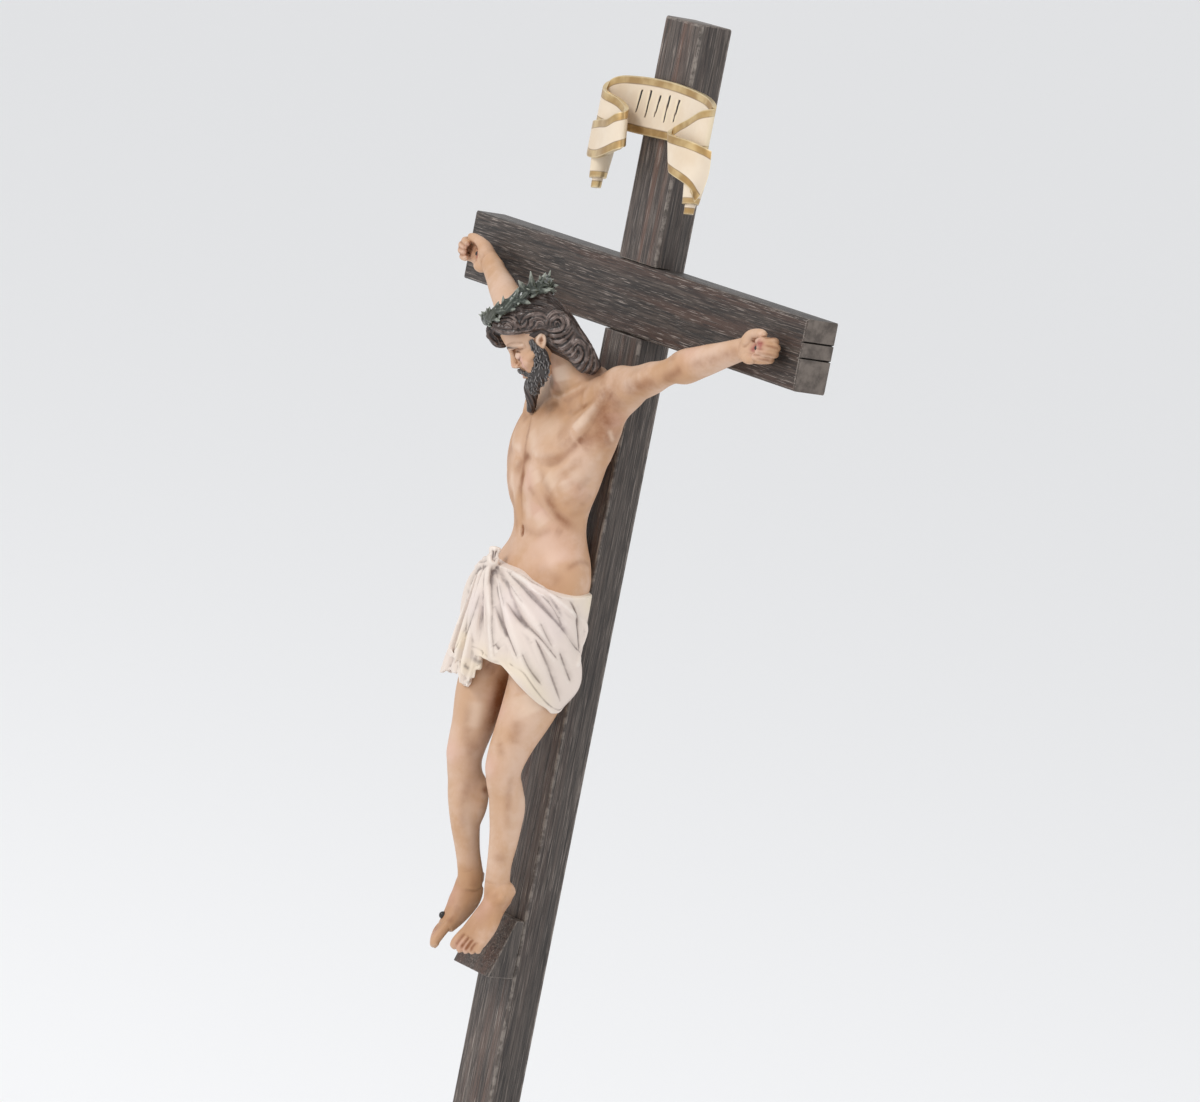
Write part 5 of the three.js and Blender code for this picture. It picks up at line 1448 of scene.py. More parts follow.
# %% Folds on the front, at the places where they are seen
FOLDS_SEEN = [
    [[492.5, 567], [491.2, 581], [491.5, 596], [492, 611.5], [491, 627], [492, 642], [494, 656]],
    [[495.5, 572], [499, 587.5], [503.5, 605]],
    [[497, 568], [502.5, 579.5], [510.5, 588.5], [522, 601.5]],
    [[506.5, 571], [519.5, 583.5], [532, 597.5], [547.5, 613], [564, 631], [574, 645], [581, 657.5]],
    [[506.5, 601.5], [518, 618], [532, 632], [545, 645], [557.5, 660]],
    [[541, 596], [551, 606.5], [559, 619.5], [562.5, 627]], [[541, 623], [546, 634.5], [552.5, 647.5]],
    [[534.5, 638.5], [542, 655], [550, 673], [560, 701]], [[522, 653.5], [529.5, 669], [541, 684.5]],
    [[494, 604], [501.5, 624.5], [509, 642], [516.5, 657.5]], [[494, 643.5], [499, 650]],
    [[479.5, 594], [473.5, 611.5], [468.5, 624.5], [465.5, 636]],
    [[486, 566], [477, 571], [470.5, 584], [468, 596]],
    [[486, 560.5], [478.5, 562], [470.5, 569]], [[560, 652.5], [565, 668], [570.5, 682]],
]
BUD_SEEN = [[[497.5, 548.5], [495.5, 555], [493.5, 560.5]],
            [[492.5, 549.5], [492.5, 555], [492.8, 560.5]],
            [[501.5, 551.5], [498, 557], [494.5, 561.5]]]
OPENINGS_SEEN = [([[473, 657], [478, 662], [481, 660]], 1.0), ([[464, 665], [469, 669]], 0.7),
                 ([[468, 682], [474, 686]], 0.7),
                 ([[466, 600], [468, 590]], 0.8)]
SHELL_EDGE_SEEN = [[516.5, 572], [536, 583.5], [559, 597], [574, 609], [589, 628], [589.5, 639.5],
                   [581, 661.5]]
BACK_FOLDS = [
    [[20, -20, -122], [24, -20, -136], [22, -19.6, -152]],
    [[-20, -22, -120], [-26, -22, -134], [-24, -21, -150]],
    [[-27.6, -38, -122], [-30, -32, -136], [-28, -28, -150]],
    [[-22, -47, -138], [-26, -42, -147], [-25.6, -36, -156]],
]
HEM_SEEN = [
    [[486, 658], [497, 665], [512, 668], [524, 676], [536, 692], [550, 708], [562, 713], [572, 702],
     [582, 682], [583, 664]],
    [[466, 632], [457, 650], [446, 674], [453, 688], [458, 680]],
    [[459, 664], [467, 667], [480, 668], [484, 656], [474, 650]],
    [[461, 688], [474, 691], [480, 676]],
]
HEM_INSIDE = [-1.2, -3.2]
HIP_SEEN = [[[566, 592], [580, 592], [596, 594]], [[590, 602], [596, 618], [594, 634]],
            [[598, 600], [600, 622]]]
MIDDLE_SEEN = [[[520, 585], [548, 612], [566, 640]], [[500, 590], [516, 622]], [[474, 590], [472, 615]]]


def carve_folds(obj):
    tree = tree_of(obj)
    points, normals = points_of(obj), normals_of(obj)
    start = points.copy()
    fold_wash_and_shade = []
    lines = [seen_line(tree, pixels) for pixels in FOLDS_SEEN]
    for line in [*lines, *[np.array(fold, float) for fold in BACK_FOLDS]]:
        if len(line) < 2:
            continue
        line = np.asarray(line)
        cut(points, normals, line, 2.0, -0.8)
        cut(points, normals, line, 0.6, -0.7)
        cut(points, normals, line + [-0.8, 0, -1.4], 1.4, 0.5)
        # A dark line of antique paint in the fold, and a wider painted shade beside it.
        fold_wash_and_shade += [(line, 0.4, 0.85), (line + [0.4, 0, 0.5], 1.5, 0.34)]
    for pixels in BUD_SEEN:
        line = seen_line(tree, pixels)
        cut(points, normals, line, 0.7, -0.9)
        fold_wash_and_shade.append((line, 0.4, 0.7))
    line = seen_line(tree, SHELL_EDGE_SEEN)
    inside = seen_line(tree, np.array(SHELL_EDGE_SEEN) + [-3.5, 2.5])
    cut(points, normals, inside, 1.5, 1.1, taper=False)
    cut(points, normals, line + [0.4, 0, 0.6], 0.7, -0.9, taper=False)
    fold_wash_and_shade += [(line + [0.3, 0, 0.4], 0.4, 1.0), (line + [0.9, 0, 1.2], 1.6, 0.4)]
    for pixels in HEM_SEEN:
        rim = seen_line(tree, np.array(pixels) + HEM_INSIDE)
        if len(rim) > 1:
            cut(points, normals, rim, 0.5, -0.35)
            fold_wash_and_shade.append((rim, 0.36, 0.5))
    # Painted shade in the openings of the hem.
    fold_wash_and_shade += [(seen_line(tree, pixels), width, 0.95) for pixels, width in OPENINGS_SEEN]
    set_points(obj, points)
    put_attribute(obj, "fold_wash_and_shade", painted_along(start, fold_wash_and_shade))
    cream = painted_along(start, seen_strokes(tree, [
        *[(pixels, 4.4, 0.85) for pixels in HEM_SEEN], *[(pixels, 6, 1) for pixels in HIP_SEEN],
    ]))
    rosy = painted_along(start, seen_strokes(tree, [(pixels, 7, 0.8) for pixels in MIDDLE_SEEN]))
    put_attribute(obj, "painted_cream", cream)
    put_attribute(obj, "painted_rosy", np.clip(rosy - 0.5 * cream, 0, 1))


carve_folds(loincloth)
flat_back(loincloth)
print("loincloth:", triangles(loincloth), "triangles")

# %% [markdown]
# ## Title scroll
# A ribbon of thick parchment, carved with its two ends folded forward and rolled. It is a flat grid laid
# along the ribbon's path and given its thickness afterwards. The inscription is a row of shallow slanted
# strokes.

# %% Ribbon: stations [x, y, top, bottom, how far the bottom edge leans to +X]
RIBBON = [
    [-43.4, -20.6, 65.6, 52.2, 0], [-37.6, -23.6, 66.4, 51.4, 0.4], [-29, -26, 67.8, 52, 0.8],
    [-19, -29, 69.2, 54.4, 1.6], [-13.6, -29.4, 72, 57.4, 3.8], [-11.2, -27.4, 73.8, 59.6, 4.2],
    [-14.4, -25, 75.6, 62, 2],
    [-22.1, -24.2, 77.9, 64, 0], [-33, -24, 79.2, 65, 0], [-39.4, -21.5, 80.6, 65.4, 0],
    [-40.2, -18.8, 83.8, 65.4, 0], [-34.6, -16.8, 86.5, 65.2, 0], [-21.6, -16.6, 88.2, 65.2, 0],
    [-8, -16.6, 89.2, 65.6, 0], [8, -16.6, 89.5, 66.2, 0], [24, -16.6, 88.7, 66.4, 0],
    [37, -18.4, 87.4, 66.4, 0], [46, -21.5, 84.8, 66, 0], [42.6, -24.3, 82.4, 65, 0],
    [34.2, -24, 78, 63.6, 0], [28, -24.2, 75, 61.6, 1.4], [25.6, -26.4, 72.4, 58.4, 4.4],
    [28.4, -28.8, 70.6, 56, 6],
    [35, -29.4, 70.2, 54.8, 4], [43, -28.4, 70, 53, 3.4], [48, -25.4, 69, 49.8, 3.8],
    [50, -21.4, 67.4, 46.6, 5],
]
RIBBON_THICKNESS = 1.8
GOLD_BAND = 3.2
STROKES = [[-18, 83.2, 73.6, 1.6], [-10.6, 84, 72.6, 1.2], [-3.2, 83.2, 73.8, 1.8],
           [4.2, 84.2, 72.8, 1.3], [11.6, 83.4, 74, 1.7]]
STROKE_WIDTH = 1.3
STROKE_SOFTNESS = 2.2


def grid_sheet(name, columns, rows, shape, thickness):
    """A grid laid out by shape(u, v) and given its thickness, with the gold band marked along its edges."""
    deselect()
    bpy.ops.mesh.primitive_grid_add(x_subdivisions=columns, y_subdivisions=rows, size=2)
    obj = bpy.context.object
    obj.name = name
    flat = points_of(obj) * MM
    u, v = (flat[:, 0] + 1) / 2, (1 - flat[:, 1]) / 2
    points, height = shape(u, v)
    set_points(obj, points)
    gold = 1 - ramp(np.minimum(v, 1 - v) * height, GOLD_BAND - 0.25, GOLD_BAND + 0.25)
    put_attribute(obj, "gold", gold)
    apply_modifier(obj, "SOLIDIFY", thickness=thickness * MM, offset=0, use_even_offset=True)
    outward(obj)
    return obj


def ribbon_shape(u, v):
    path = smooth_rows(RIBBON, 12)
    at = u * (len(path) - 1)
    low = np.floor(at).astype(int).clip(0, len(path) - 2)
    row = path[low] + (path[low + 1] - path[low]) * (at - low)[:, None]
    x, y, top, bottom, lean = row.T
    curl = END_CURL * ramp(u, 0.93, 1) * v ** 3
    return np.column_stack([x + lean * v - curl, y - 0.3 * curl, top + (bottom - top) * v]), top - bottom


END_CURL = 6.5
ribbon = grid_sheet("ribbon", 420, 64, ribbon_shape, RIBBON_THICKNESS)
print("ribbon:", triangles(ribbon), "triangles")

# %% [markdown]
# Each end of the ribbon ends in a roll that hangs down. Two turns that slip out of each other show it best.

# %% Rolls: turns that slip out of each other, each with its gold lower edge
ROLLS = [dict(place=[-32.8, -20.6], top=56, turns=[(4.2, 43.8), (2.5, 39.8)]),
         dict(place=[45.6, -23.4], top=54, turns=[(4.0, 45), (2.4, 41)])]
ROLL_SLANT = 0.22
ROLL_BAND = 2.3


def make_roll(spec):
    (x, y), top = spec["place"], spec["top"]
    turns = []
    for radius, low in spec["turns"]:
        rows = [(z, 1.1 - 0.26 * k / 10) for k, z in enumerate(np.linspace(top, low, 11))]
        rows += [(low - 0.15, 0.78), (low, 0.64), (low + 0.5, 0.58)]
        rows = [[x, y, z, radius * size, radius * size] for z, size in rows]
        turn = limb(rows, sides=48, steps=3, dome=-0.2, name="turn")
        spots = points_of(turn)
        put_attribute(turn, "gold", 1 - ramp(spots[:, 2], low + ROLL_BAND - 0.2, low + ROLL_BAND + 0.2))
        spots[:, 2] += ROLL_SLANT * (spots[:, 0] - x) * ramp(low + 6 - spots[:, 2], 0, 5)
        set_points(turn, spots)
        turns.append(turn)
    roll = joined("roll", turns)
    outward(roll)
    return roll


scroll = joined("title_scroll", [ribbon, *[make_roll(spec) for spec in ROLLS]])
select_only(scroll)
bpy.ops.object.shade_smooth_by_angle(angle=math.radians(50))
print("title scroll:", triangles(scroll), "triangles")

# %% [markdown]
# The strokes stand for an inscription and aren't letters. They are pressed into the panel and painted dark.

# %% Strokes
PANEL_FRONT = -17.5


def carve_strokes(obj):
    points = points_of(obj)
    stroke = np.zeros(len(points))
    front = (points[:, 1] < PANEL_FRONT + 0.6) & (points[:, 1] > PANEL_FRONT - 1.2)
    front &= np.abs(points[:, 0] + 3) < 20
    for x, top, bottom, lean in STROKES:
        middle = x + lean * ((points[:, 2] - (top + bottom) / 2) / (top - bottom))
        wedge = STROKE_WIDTH * np.interp(points[:, 2], [bottom, top], [0.65, 1.1])
        ends = np.minimum(points[:, 2] - bottom, top - points[:, 2])
        clear = np.minimum(wedge * 0.5 - np.abs(points[:, 0] - middle), ends)
        stroke = np.maximum(stroke, np.clip(0.5 + clear / STROKE_SOFTNESS, 0, 1) * front)
    points[:, 1] += 0.4 * ramp(stroke, 0.3, 0.75)
    set_points(obj, points)
    put_attribute(obj, "stroke", stroke)


carve_strokes(scroll)

# %% [markdown]
# The nails are seen only by their round heads, one in each hand and one in the far foot.

# %% Nail heads
def nail(name, place, radius):
    piece = ball(place, [radius, radius, radius], detail=24, name=name)
    select_only(piece)
    bpy.ops.object.transform_apply(location=True, rotation=True, scale=True)
    bpy.ops.object.shade_smooth()
    return piece


nails = [nail("far_foot_nail", foot_place(FAR_LEG, FAR_FOOT, -1)[0](23.4, 6, 0.4), 1.6)]
for side, name in ((1, "near_hand_nail"), (-1, "far_hand_nail")):
    nails.append(nail(name, hand_place(side)(10.6, 0.9, 0.6), 1.1))
print("nail heads:", len(nails))

# %% [markdown]
# ## Beams and footrest
# The beams are copies of the solid ones. Their corners are rubbed soft, and the grain is a job for the
# finish.

# %% Copies of the solid beams
RUBBED_EDGE = 0.45


def copy_of(node):
    source = bpy.data.objects[node]
    obj = bpy.data.objects.new(node + "_finish", source.data.copy())
    obj.matrix_world = source.matrix_world.copy()
    bpy.context.scene.collection.objects.link(obj)
    select_only(obj)
    bpy.ops.object.transform_apply(location=True, rotation=True, scale=True)
    bpy.ops.object.mode_set(mode="EDIT")
    bpy.ops.mesh.select_all(action="SELECT")
    bpy.ops.mesh.remove_doubles(threshold=0.00001)
    bpy.ops.mesh.dissolve_limited(angle_limit=math.radians(1))
    bpy.ops.mesh.normals_make_consistent(inside=False)
    bpy.ops.object.mode_set(mode="OBJECT")
    apply_modifier(obj, "BEVEL", width=RUBBED_EDGE * MM, segments=3, limit_method="ANGLE",
                   angle_limit=math.radians(30))
    worn = obj.data.attributes.new("worn_edge", "FLOAT", "CORNER")
    values = []
    for face_of_beam in obj.data.polygons:
        spots = [obj.data.vertices[i].co for i in face_of_beam.vertices]
        longest = max((a - b).length for a, b in zip(spots, spots[1:] + spots[:1]))
        values += [float(face_of_beam.area / longest < 0.6 * MM)] * len(spots)
    worn.data.foreach_set("value", values)
    select_only(obj)
    bpy.ops.object.shade_smooth_by_angle(angle=math.radians(35))
    return obj


beams = [copy_of("upright"), copy_of("crossbeam"), copy_of("footrest")]
print("beams:", [triangles(b) for b in beams], "triangles")

# %% [markdown]
# ## Cavities
# Antique wash stays in the hollows of a cast, and the finish darkens them as painted shade too. How deep a
# point lies in a hollow is the distance from the point to the same surface after smoothing, measured along
# its normal: near smoothing finds creases, far smoothing finds the broad hollows between muscles.

# %% Cavity attributes
def mark_cavities(obj, near, far, near_scale, far_scale, plain=()):
    edges, points, normals = edges_of(obj), points_of(obj), normals_of(obj)
    near_points = smoothed(points, edges, near)
    far_points = smoothed(near_points, edges, far)
    keep = np.ones(len(points))
    for x, y, z, radius in plain:
        keep = np.minimum(keep, 1 - bump(np.linalg.norm(points - [x, y, z], axis=1), radius))
    for name, inner, outer, scale in (("crease", points, near_points, near_scale),
                                      ("hollow", near_points, far_points, far_scale)):
        put_attribute(obj, name, keep * np.clip(((outer - inner) * normals).sum(1) / scale, -1, 1))


PLAIN = [[*mirrored(WRIST, side), 7] for side in (1, -1)] + [[*leg[-2][:3], 7]
        for leg in (NEAR_LEG, FAR_LEG)]
mark_cavities(body, 5, 50, 0.16, 1.3, plain=PLAIN)
for piece in (*hands, *feet):
    mark_cavities(piece, 6, 80, 0.16, 1.0, plain=PLAIN)
mark_cavities(face, 5, 50, 0.08, 0.7)
for piece in (hair, beard):
    mark_cavities(piece, 5, 30, 0.1, 0.6)
mark_cavities(crown, 5, 30, 0.11, 0.8)
mark_cavities(loincloth, 4, 50, 0.16, 1.4)
mark_cavities(scroll, 3, 20, 0.08, 0.6)
print("cavities are marked")

# %% [markdown]
# ## Finishes
# Each effect that several finishes share is a group that gives out masks and colours: the wash with its
# painted shade and highlights, the worn spots and the grain. The shader itself stays in each material.

# %% Helpers for materials
def node_group(name, inputs, outputs):
    group = bpy.data.node_groups.new(name, "ShaderNodeTree")
    for socket, kind, value in inputs:
        item = group.interface.new_socket(socket, in_out="INPUT", socket_type=kind)
        if value is not None:
            item.default_value = value
    for socket, kind in outputs:
        group.interface.new_socket(socket, in_out="OUTPUT", socket_type=kind)
    enter, leave = group.nodes.new("NodeGroupInput"), group.nodes.new("NodeGroupOutput")
    return group, enter.outputs, leave.inputs


def put(source, socket, value):
    """Link value to a socket if it is an output, else set it."""
    if isinstance(value, bpy.types.NodeSocket):
        source.links.new(value, socket)
    else:
        socket.default_value = value


def noise(tree, vector, scale, detail=4, roughness=0.55, stretch=None):
    if stretch is not None:
        mapping = tree.nodes.new("ShaderNodeMapping")
        mapping.inputs["Scale"].default_value = stretch
        tree.links.new(vector, mapping.inputs["Vector"])
        vector = mapping.outputs["Vector"]
    node = tree.nodes.new("ShaderNodeTexNoise")
    put(tree, node.inputs["Vector"], vector)
    node.inputs["Scale"].default_value = scale
    node.inputs["Detail"].default_value = detail
    node.inputs["Roughness"].default_value = roughness
    return node.outputs["Fac"]


def remap(tree, value, low, high, to_low=0.0, to_high=1.0):
    node = tree.nodes.new("ShaderNodeMapRange")
    node.interpolation_type = "SMOOTHSTEP"
    put(tree, node.inputs["Value"], value)
    for key, number in (("From Min", low), ("From Max", high), ("To Min", to_low), ("To Max", to_high)):
        node.inputs[key].default_value = number
    return node.outputs["Result"]


def maths(tree, kind, a, b, clamp=False):
    node = tree.nodes.new("ShaderNodeMath")
    node.operation = kind
    node.use_clamp = clamp
    put(tree, node.inputs[0], a)
    put(tree, node.inputs[1], b)
    return node.outputs[0]
def times(tree, a, b, clamp=True):
    return maths(tree, "MULTIPLY", a, b, clamp=clamp)
def mix(tree, share, a, b, kind="MIX"):
    node = tree.nodes.new("ShaderNodeMix")
    node.data_type = "RGBA"
    node.blend_type = kind
    put(tree, node.inputs["Factor"], share)
    put(tree, node.inputs[6], a)
    put(tree, node.inputs[7], b)
    return node.outputs[2]


def attribute(tree, name):
    node = tree.nodes.new("ShaderNodeAttribute")
    node.attribute_name = name
    return node.outputs["Fac"]


def object_place(tree):
    return tree.nodes.new("ShaderNodeTexCoord").outputs["Object"]


def srgb(text):
    parts = [int(text[i:i + 2], 16) / 255 for i in (0, 2, 4)]
    return (*[p / 12.92 if p <= 0.04045 else ((p + 0.055) / 1.055) ** 2.4 for p in parts], 1)


def material(name):
    made = bpy.data.materials.new(name)
    made.use_nodes = True
    tree = made.node_tree
    return made, tree, tree.nodes["Principled BSDF"]


def use_group(tree, group, **values):
    node = tree.nodes.new("ShaderNodeGroup")
    node.node_tree = group
    for key, value in values.items():
        put(tree, node.inputs[key.replace("_", " ")], value)
    return node.outputs


# %% [markdown]
# Two groups serve all painted pieces. One lays dark antique wash and painted shade in creases and hollows,
# and a painted highlight on ridges, by the cavity attributes, and the other gives a cast surface its fine
# unevenness.

# %% Shared groups: antique wash with painted shade and highlights, and fine surface
wash_and_shade_group, enter, leave = node_group(
    "antique_wash_and_painted_shade",
    [("Color", "NodeSocketColor", (0.8, 0.8, 0.8, 1)), ("Wash", "NodeSocketColor", (0.1, 0.05, 0.02, 1)),
     ("Light", "NodeSocketColor", (1, 1, 1, 1)), ("Amount", "NodeSocketFloat", 1.0),
     ("Broad", "NodeSocketFloat", 1.0)],
    [("Color", "NodeSocketColor"), ("Mask", "NodeSocketFloat")],
)
place = object_place(wash_and_shade_group)
crease, hollow = attribute(wash_and_shade_group, "crease"), attribute(wash_and_shade_group, "hollow")
patchy = remap(wash_and_shade_group, noise(wash_and_shade_group, place, 60, 5, 0.6), 0.3, 0.7, 0.55, 1.25)
# Dark in creases and hollows: antique wash, and painted shade where light doesn't reach.
deep = maths(wash_and_shade_group, "MULTIPLY", remap(wash_and_shade_group, crease, 0.02, 0.9), enter["Amount"])
broad = maths(wash_and_shade_group, "MULTIPLY", remap(wash_and_shade_group, hollow, 0.03, 0.9), enter["Broad"])
mask = maths(wash_and_shade_group, "MULTIPLY", maths(wash_and_shade_group, "ADD", deep, broad), patchy, clamp=True)
# Lighter on ridges: a painted highlight.
ridge_highlight = remap(wash_and_shade_group, crease, -0.1, -1.0, 0, 0.5)
lit = mix(wash_and_shade_group, ridge_highlight, enter["Color"], enter["Light"])
put(wash_and_shade_group, leave["Color"], mix(wash_and_shade_group, mask, lit, enter["Wash"]))
put(wash_and_shade_group, leave["Mask"], mask)

surface_group, enter, leave = node_group(
    "fine_surface", [("Scale", "NodeSocketFloat", 900.0), ("Strength", "NodeSocketFloat", 0.1)],
    [("Normal", "NodeSocketVector"), ("Patches", "NodeSocketFloat")],
)
place = object_place(surface_group)
fine = surface_group.nodes.new("ShaderNodeTexNoise")
put(surface_group, fine.inputs["Vector"], place)
put(surface_group, fine.inputs["Scale"], enter["Scale"])
fine.inputs["Detail"].default_value = 3
bumps = surface_group.nodes.new("ShaderNodeBump")
bumps.inputs["Distance"].default_value = 0.0003
put(surface_group, bumps.inputs["Strength"], enter["Strength"])
put(surface_group, bumps.inputs["Height"], fine.outputs["Fac"])
put(surface_group, leave["Normal"], bumps.outputs["Normal"])
put(surface_group, leave["Patches"], noise(surface_group, place, 45, 5, 0.6))

# %% [markdown]
# Skin, cloth, hair, beard, crown and nails are paint over the same casting, so they share one recipe.
# Colours that follow a stroke of the brush are laid over it by attribute, among them painted shade in
# hollows and painted highlights where light falls.

# %% Painted finishes of the figure
# The wash colour is antique wash and painted shade in hollows; the light colour is a painted highlight on
# ridges.
def painted(name, colour, wash_and_shade, light, second=None, amount=0.8, broad=0.7, roughness=0.5, bump=0.1,
            scale=900.0):
    made, tree, shader = material(name)
    surface = use_group(tree, surface_group, Scale=scale, Strength=bump)
    base = colour
    if second is not None:
        base = mix(tree, remap(tree, surface["Patches"], 0.35, 0.68), colour, second)
    washed = use_group(tree, wash_and_shade_group, Color=base, Wash=wash_and_shade, Light=light, Amount=amount, Broad=broad)
    put(tree, shader.inputs["Base Color"], washed["Color"])
    put(tree, shader.inputs["Roughness"],
        remap(tree, surface["Patches"], 0.3, 0.7, roughness - 0.07, roughness + 0.07))
    put(tree, shader.inputs["Normal"], surface["Normal"])
    return made, tree, shader


def recolour(tree, shader, layers):
    """Lay colours over a painted finish, each where an attribute says so."""
    colour = shader.inputs["Base Color"].links[0].from_socket
    for share, shade in layers:
        colour = mix(tree, share, colour, srgb(shade))
    put(tree, shader.inputs["Base Color"], colour)


skin, tree, shader = painted("skin", srgb("c59d7c"), srgb("7a4b2b"), srgb("e2ccba"),
                             second=srgb("d0ae96"),
                             amount=0.8, broad=0.55, roughness=0.53, bump=0.1)
place = object_place(tree)
tan = remap(tree, noise(tree, place, 34, 5, 0.62), 0.42, 0.6, 0, 0.6)
breakup = remap(tree, noise(tree, place, 130, 5, 0.65), 0.25, 0.7, 0.45, 1.15)
# Over the skin: random tan, blush, brown wash with painted shade, red wounds and lips, painted highlights,
# and dark brows and lids.
recolour(tree, shader, [
    (tan, "b98a5e"), (times(tree, attribute(tree, "painted_blush"), 0.75), "d6a99c"),
    (times(tree, attribute(tree, "painted_wash_and_shade"), breakup), "86522e"),
    (times(tree, attribute(tree, "painted_red"), breakup), "93383a"),
    (times(tree, attribute(tree, "painted_light"), 0.65), "e6cfba"),
    (attribute(tree, "painted_dark"), "2c1a14"),
])
cloth, tree, shader = painted("cloth", srgb("dfd1c6"), srgb("7b6c67"), srgb("efe6dd"),
                              second=srgb("e1d2c8"),
                              amount=0.8, broad=0.45, roughness=0.5, bump=0.05)
uneven = remap(tree, noise(tree, object_place(tree), 200, 4, 0.6), 0.3, 0.6, 0.35, 0.85)
# Cream and rosy paint, then dark grey along the folds: antique paint and painted shade.
recolour(tree, shader, [
    (times(tree, attribute(tree, "painted_cream"), 0.65), "e6d6ba"),
    (times(tree, attribute(tree, "painted_rosy"), 0.5), "e2d2d0"),
    (times(tree, attribute(tree, "fold_wash_and_shade"), uneven), "75665f"),
])


def dry_brushed(name, colour, wash_and_shade, light, second, brushed, **values):
    """Paint with dry-brushed strands, also painted highlights, where the attribute painted_light says so."""
    made, tree, shader = painted(name, srgb(colour), srgb(wash_and_shade), srgb(light), second=srgb(second),
                                 **values)
    broken = remap(tree, noise(tree, object_place(tree), 240, 4, 0.6), 0.44, 0.6, 0.0, 0.9)
    recolour(tree, shader, [(times(tree, attribute(tree, "painted_light"), broken), brushed)])
    return made


hair_paint = dry_brushed("hair_paint", "30241f", "0f0a08", "6e5d56", "3a2c26", "9b8a83", amount=0.95,
                         broad=0.5, roughness=0.32)
beard_paint = dry_brushed("beard_paint", "353232", "0f0e0f", "a29e9d", "3d3836", "8b8787", amount=0.95,
                          broad=0.45, roughness=0.34)
# The light colour on the crown's ridges is a painted sheen, and its dark wash lies in the crevices as
# painted shade.
crown_paint, tree, shader = painted("crown_paint", srgb("2e352e"), srgb("070908"), srgb("c3c8bb"),
                                    second=srgb("3b3d30"), amount=1.0, broad=0.5, roughness=0.17)
nail_paint, tree, shader = painted("nail_paint", srgb("26221f"), srgb("0c0a09"), srgb("4d4743"),
                                   roughness=0.3)

# %% [markdown]
# The scroll is cream with a gold band along both edges and a thin brown line where the two meet.

# %% Scroll: cream with antique gold edges and dark strokes
scroll_paint, tree, shader = material("scroll_paint")
surface = use_group(tree, surface_group, Scale=700.0, Strength=0.1)
cream = mix(tree, remap(tree, surface["Patches"], 0.35, 0.7), srgb("e0d0bb"), srgb("d8c4aa"))
streaks = noise(tree, object_place(tree), 90, 3, 0.5)
gold_colour = mix(tree, remap(tree, streaks, 0.4, 0.7), srgb("b08e5c"), srgb("d9be8c"))
gold_mask = attribute(tree, "gold")
plain = mix(tree, gold_mask, cream, gold_colour)
gold_edge = times(scroll_paint.node_tree, gold_mask, maths(tree, "SUBTRACT", 1.0, gold_mask), clamp=False)
rim = times(tree, gold_edge, 2.6)
rimmed = mix(tree, rim, plain, srgb("6e4d2a"))
# The shared wash lays antique wash and painted shade in the scroll's hollows, and a painted highlight on its
# ridges.
washed = use_group(tree, wash_and_shade_group, Color=rimmed, Wash=srgb("6f4f2c"), Light=srgb("eedfba"), Amount=0.8,
                   Broad=0.5)
inked = mix(tree, remap(tree, attribute(tree, "stroke"), 0.44, 0.56), washed["Color"], srgb("1d1713"))
put(tree, shader.inputs["Base Color"], inked)
put(tree, shader.inputs["Metallic"], maths(tree, "MULTIPLY", gold_mask, 0.7))
put(tree, shader.inputs["Roughness"], remap(tree, gold_mask, 0, 1, 0.5, 0.34))
put(tree, shader.inputs["Normal"], surface["Normal"])

# %% [markdown]
# The wood's grain is noise stretched along the beam. The flank is plainer and greyer, which paints shade on
# that side, and the sawn ends show none.

# %% Wood: dark brown, with reddish patches and grey dry-brushed grain
grain_group, enter, leave = node_group(
    "wood_grain", [("Vector", "NodeSocketVector", None)],
    [("Lines", "NodeSocketFloat"), ("Grooves", "NodeSocketFloat"), ("Scratches", "NodeSocketFloat"),
     ("Patches", "NodeSocketFloat")],
)
put(grain_group, leave["Lines"], noise(grain_group, enter["Vector"], 1500, 5, 0.7))
put(grain_group, leave["Grooves"], remap(grain_group, noise(grain_group, enter["Vector"], 2100, 2, 0.5),
                                         0.56, 0.61))
fine = remap(grain_group, noise(grain_group, enter["Vector"], 3000, 2, 0.5), 0.59, 0.65)
where = remap(grain_group, noise(grain_group, enter["Vector"], 300, 4, 0.6), 0.4, 0.6, 0.3, 1)
put(grain_group, leave["Scratches"], maths(grain_group, "MULTIPLY", fine, where))
put(grain_group, leave["Patches"], noise(grain_group, enter["Vector"], 130, 4, 0.6))


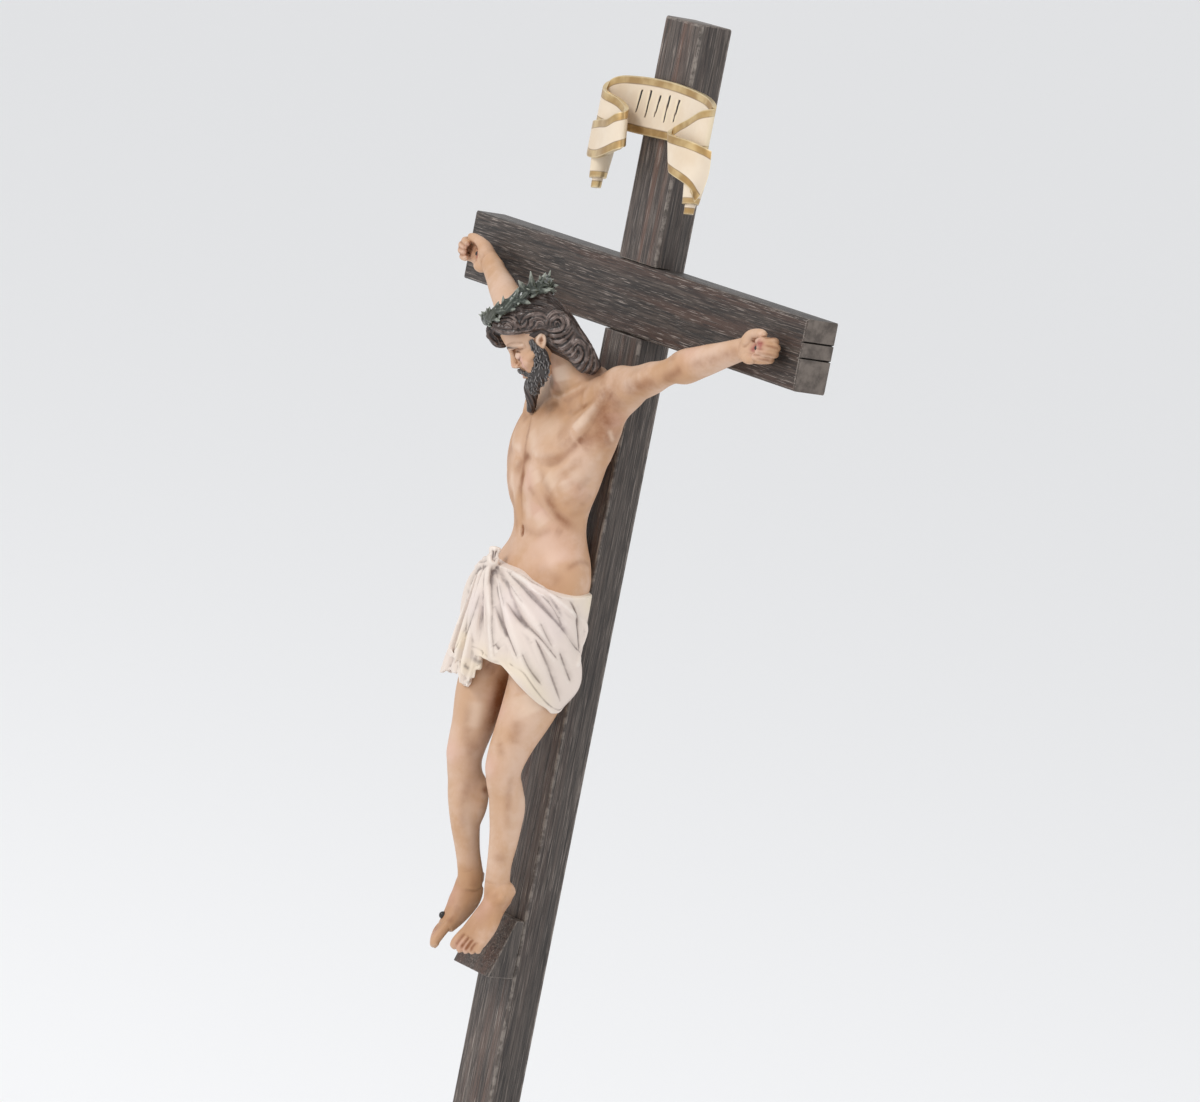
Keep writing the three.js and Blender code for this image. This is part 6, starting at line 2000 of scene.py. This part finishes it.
def wood(name, stretch, end, shaded_flank, dark, pale, rust):
    """Painted wood: end is the grain's axis; faces on the flank's axis get a grey painted shade."""
    made, tree, shader = material(name)
    mapping = tree.nodes.new("ShaderNodeMapping")
    mapping.inputs["Scale"].default_value = stretch
    put(tree, mapping.inputs["Vector"], object_place(tree))
    grain = use_group(tree, grain_group, Vector=mapping.outputs["Vector"])
    base = mix(tree, remap(tree, grain["Lines"], 0.38, 0.62), srgb(dark), srgb(pale))
    facing = tree.nodes.new("ShaderNodeSeparateXYZ")
    put(tree, facing.inputs[0], tree.nodes.new("ShaderNodeTexCoord").outputs["Normal"])
    flank_shade = remap(tree, maths(tree, "ABSOLUTE", facing.outputs[shaded_flank], 0), 0.6, 0.85)
    rusty = times(tree, remap(tree, grain["Patches"], 0.45, 0.66, 0, 0.75),
                  remap(tree, flank_shade, 0, 1, 1, 0.2))
    # The flank is greyed as painted shade, with fewer scratches and less rust.
    base = mix(tree, times(tree, flank_shade, 0.42), base, srgb("373635"))
    base = mix(tree, rusty, base, srgb(rust))
    grooved = mix(tree, times(tree, grain["Grooves"], 0.7), base, srgb("1a1614"))
    scratched = times(tree, grain["Scratches"], remap(tree, flank_shade, 0, 1, 0.8, 0.35))
    brushed = mix(tree, scratched, grooved, srgb("a89c93"))
    rubbed = remap(tree, noise(tree, object_place(tree), 220, 5, 0.7), 0.42, 0.6, 0.05, 0.5)
    brushed = mix(tree, times(tree, attribute(tree, "worn_edge"), rubbed), brushed, srgb("a0968d"))
    cut_end = remap(tree, maths(tree, "ABSOLUTE", facing.outputs[end], 0), 0.6, 0.85)
    blotches = remap(tree, noise(tree, object_place(tree), 150, 5, 0.65), 0.35, 0.65)
    cut_colour = mix(tree, blotches, srgb("4a413b"), srgb("6f655d"))
    put(tree, shader.inputs["Base Color"], mix(tree, cut_end, brushed, cut_colour))
    put(tree, shader.inputs["Roughness"], remap(tree, grain["Lines"], 0.3, 0.7, 0.56, 0.44))
    bumps = tree.nodes.new("ShaderNodeBump")
    bumps.inputs["Distance"].default_value = 0.0004
    bumps.inputs["Strength"].default_value = 0.55
    relief = maths(tree, "SUBTRACT", grain["Lines"], maths(tree, "MULTIPLY", grain["Grooves"], 0.4))
    put(tree, bumps.inputs["Height"], maths(tree, "MULTIPLY", relief,
                                            maths(tree, "SUBTRACT", 1.0, cut_end)))
    put(tree, shader.inputs["Normal"], bumps.outputs["Normal"])
    return made


wood_up = wood("wood_up", (1, 1, 0.025), "Z", "X", "39302c", "60544c", "64473a")
wood_across = wood("wood_across", (0.03, 1, 1), "X", "Z", "251e1b", "4d423b", "4c352b")

# %% [markdown]
# Each piece rides on the only body, replaces its node in the solid model, and takes its paint.

# %% Give each piece its finish and its place in the frame
def finish_piece(piece, node, paint):
    piece.data.materials.clear()
    piece.data.materials.append(paint)
    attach(piece, "root")
    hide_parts(node)


for piece, paint in (
    *[(piece, skin) for piece in (body, *hands, *feet, face)],
    (hair, hair_paint), (beard, beard_paint), (crown, crown_paint), (loincloth, cloth),
    *[(n, nail_paint) for n in nails],
):
    finish_piece(piece, "corpus", paint)
finish_piece(scroll, "title_scroll", scroll_paint)
for piece, node, paint in zip(beams, ("upright", "crossbeam", "footrest"),
                              (wood_up, wood_across, wood_up)):
    finish_piece(piece, node, paint)

# %% [markdown]
# ## Studio
# A plain pale floor lies under the cross and runs far back, so the camera sees nothing else. One large soft
# lamp stands high at the left of the camera, a weaker one at its right.

# %% Floor and lamps
deselect()
FLOOR_SIZE, FLOOR_HEIGHT = 120, -0.44
bpy.ops.mesh.primitive_plane_add(size=FLOOR_SIZE, location=(0, 0, FLOOR_HEIGHT))
floor = bpy.context.object
floor.name = "floor"
floor_paint, tree, shader = material("floor_paint")
shader.inputs["Base Color"].default_value = srgb("f3f3f4")
shader.inputs["Roughness"].default_value = 0.9
floor.data.materials.append(floor_paint)

world = bpy.data.worlds.new("studio")
bpy.context.scene.world = world
world.use_nodes = True
world.node_tree.nodes["Background"].inputs["Color"].default_value = (0.98, 0.99, 1, 1)
world.node_tree.nodes["Background"].inputs["Strength"].default_value = 0.85


def lamp(name, place, aim, size, power):
    data = bpy.data.lights.new(name, "AREA")
    data.size = size
    data.energy = power
    obj = bpy.data.objects.new(name, data)
    obj.location = place
    way = Vector(aim) - Vector(place)
    obj.rotation_mode = "QUATERNION"
    obj.rotation_quaternion = way.to_track_quat("-Z", "Y")
    bpy.context.scene.collection.objects.link(obj)
    return obj


lamp("key", (0.2, -2.4, 1.6), (0, 0, -0.1), 0.8, 29)
lamp("fill", (2.2, 0.4, 1.1), (0, 0, -0.1), 1.2, 7)
bpy.context.scene.view_settings.view_transform = "Standard"
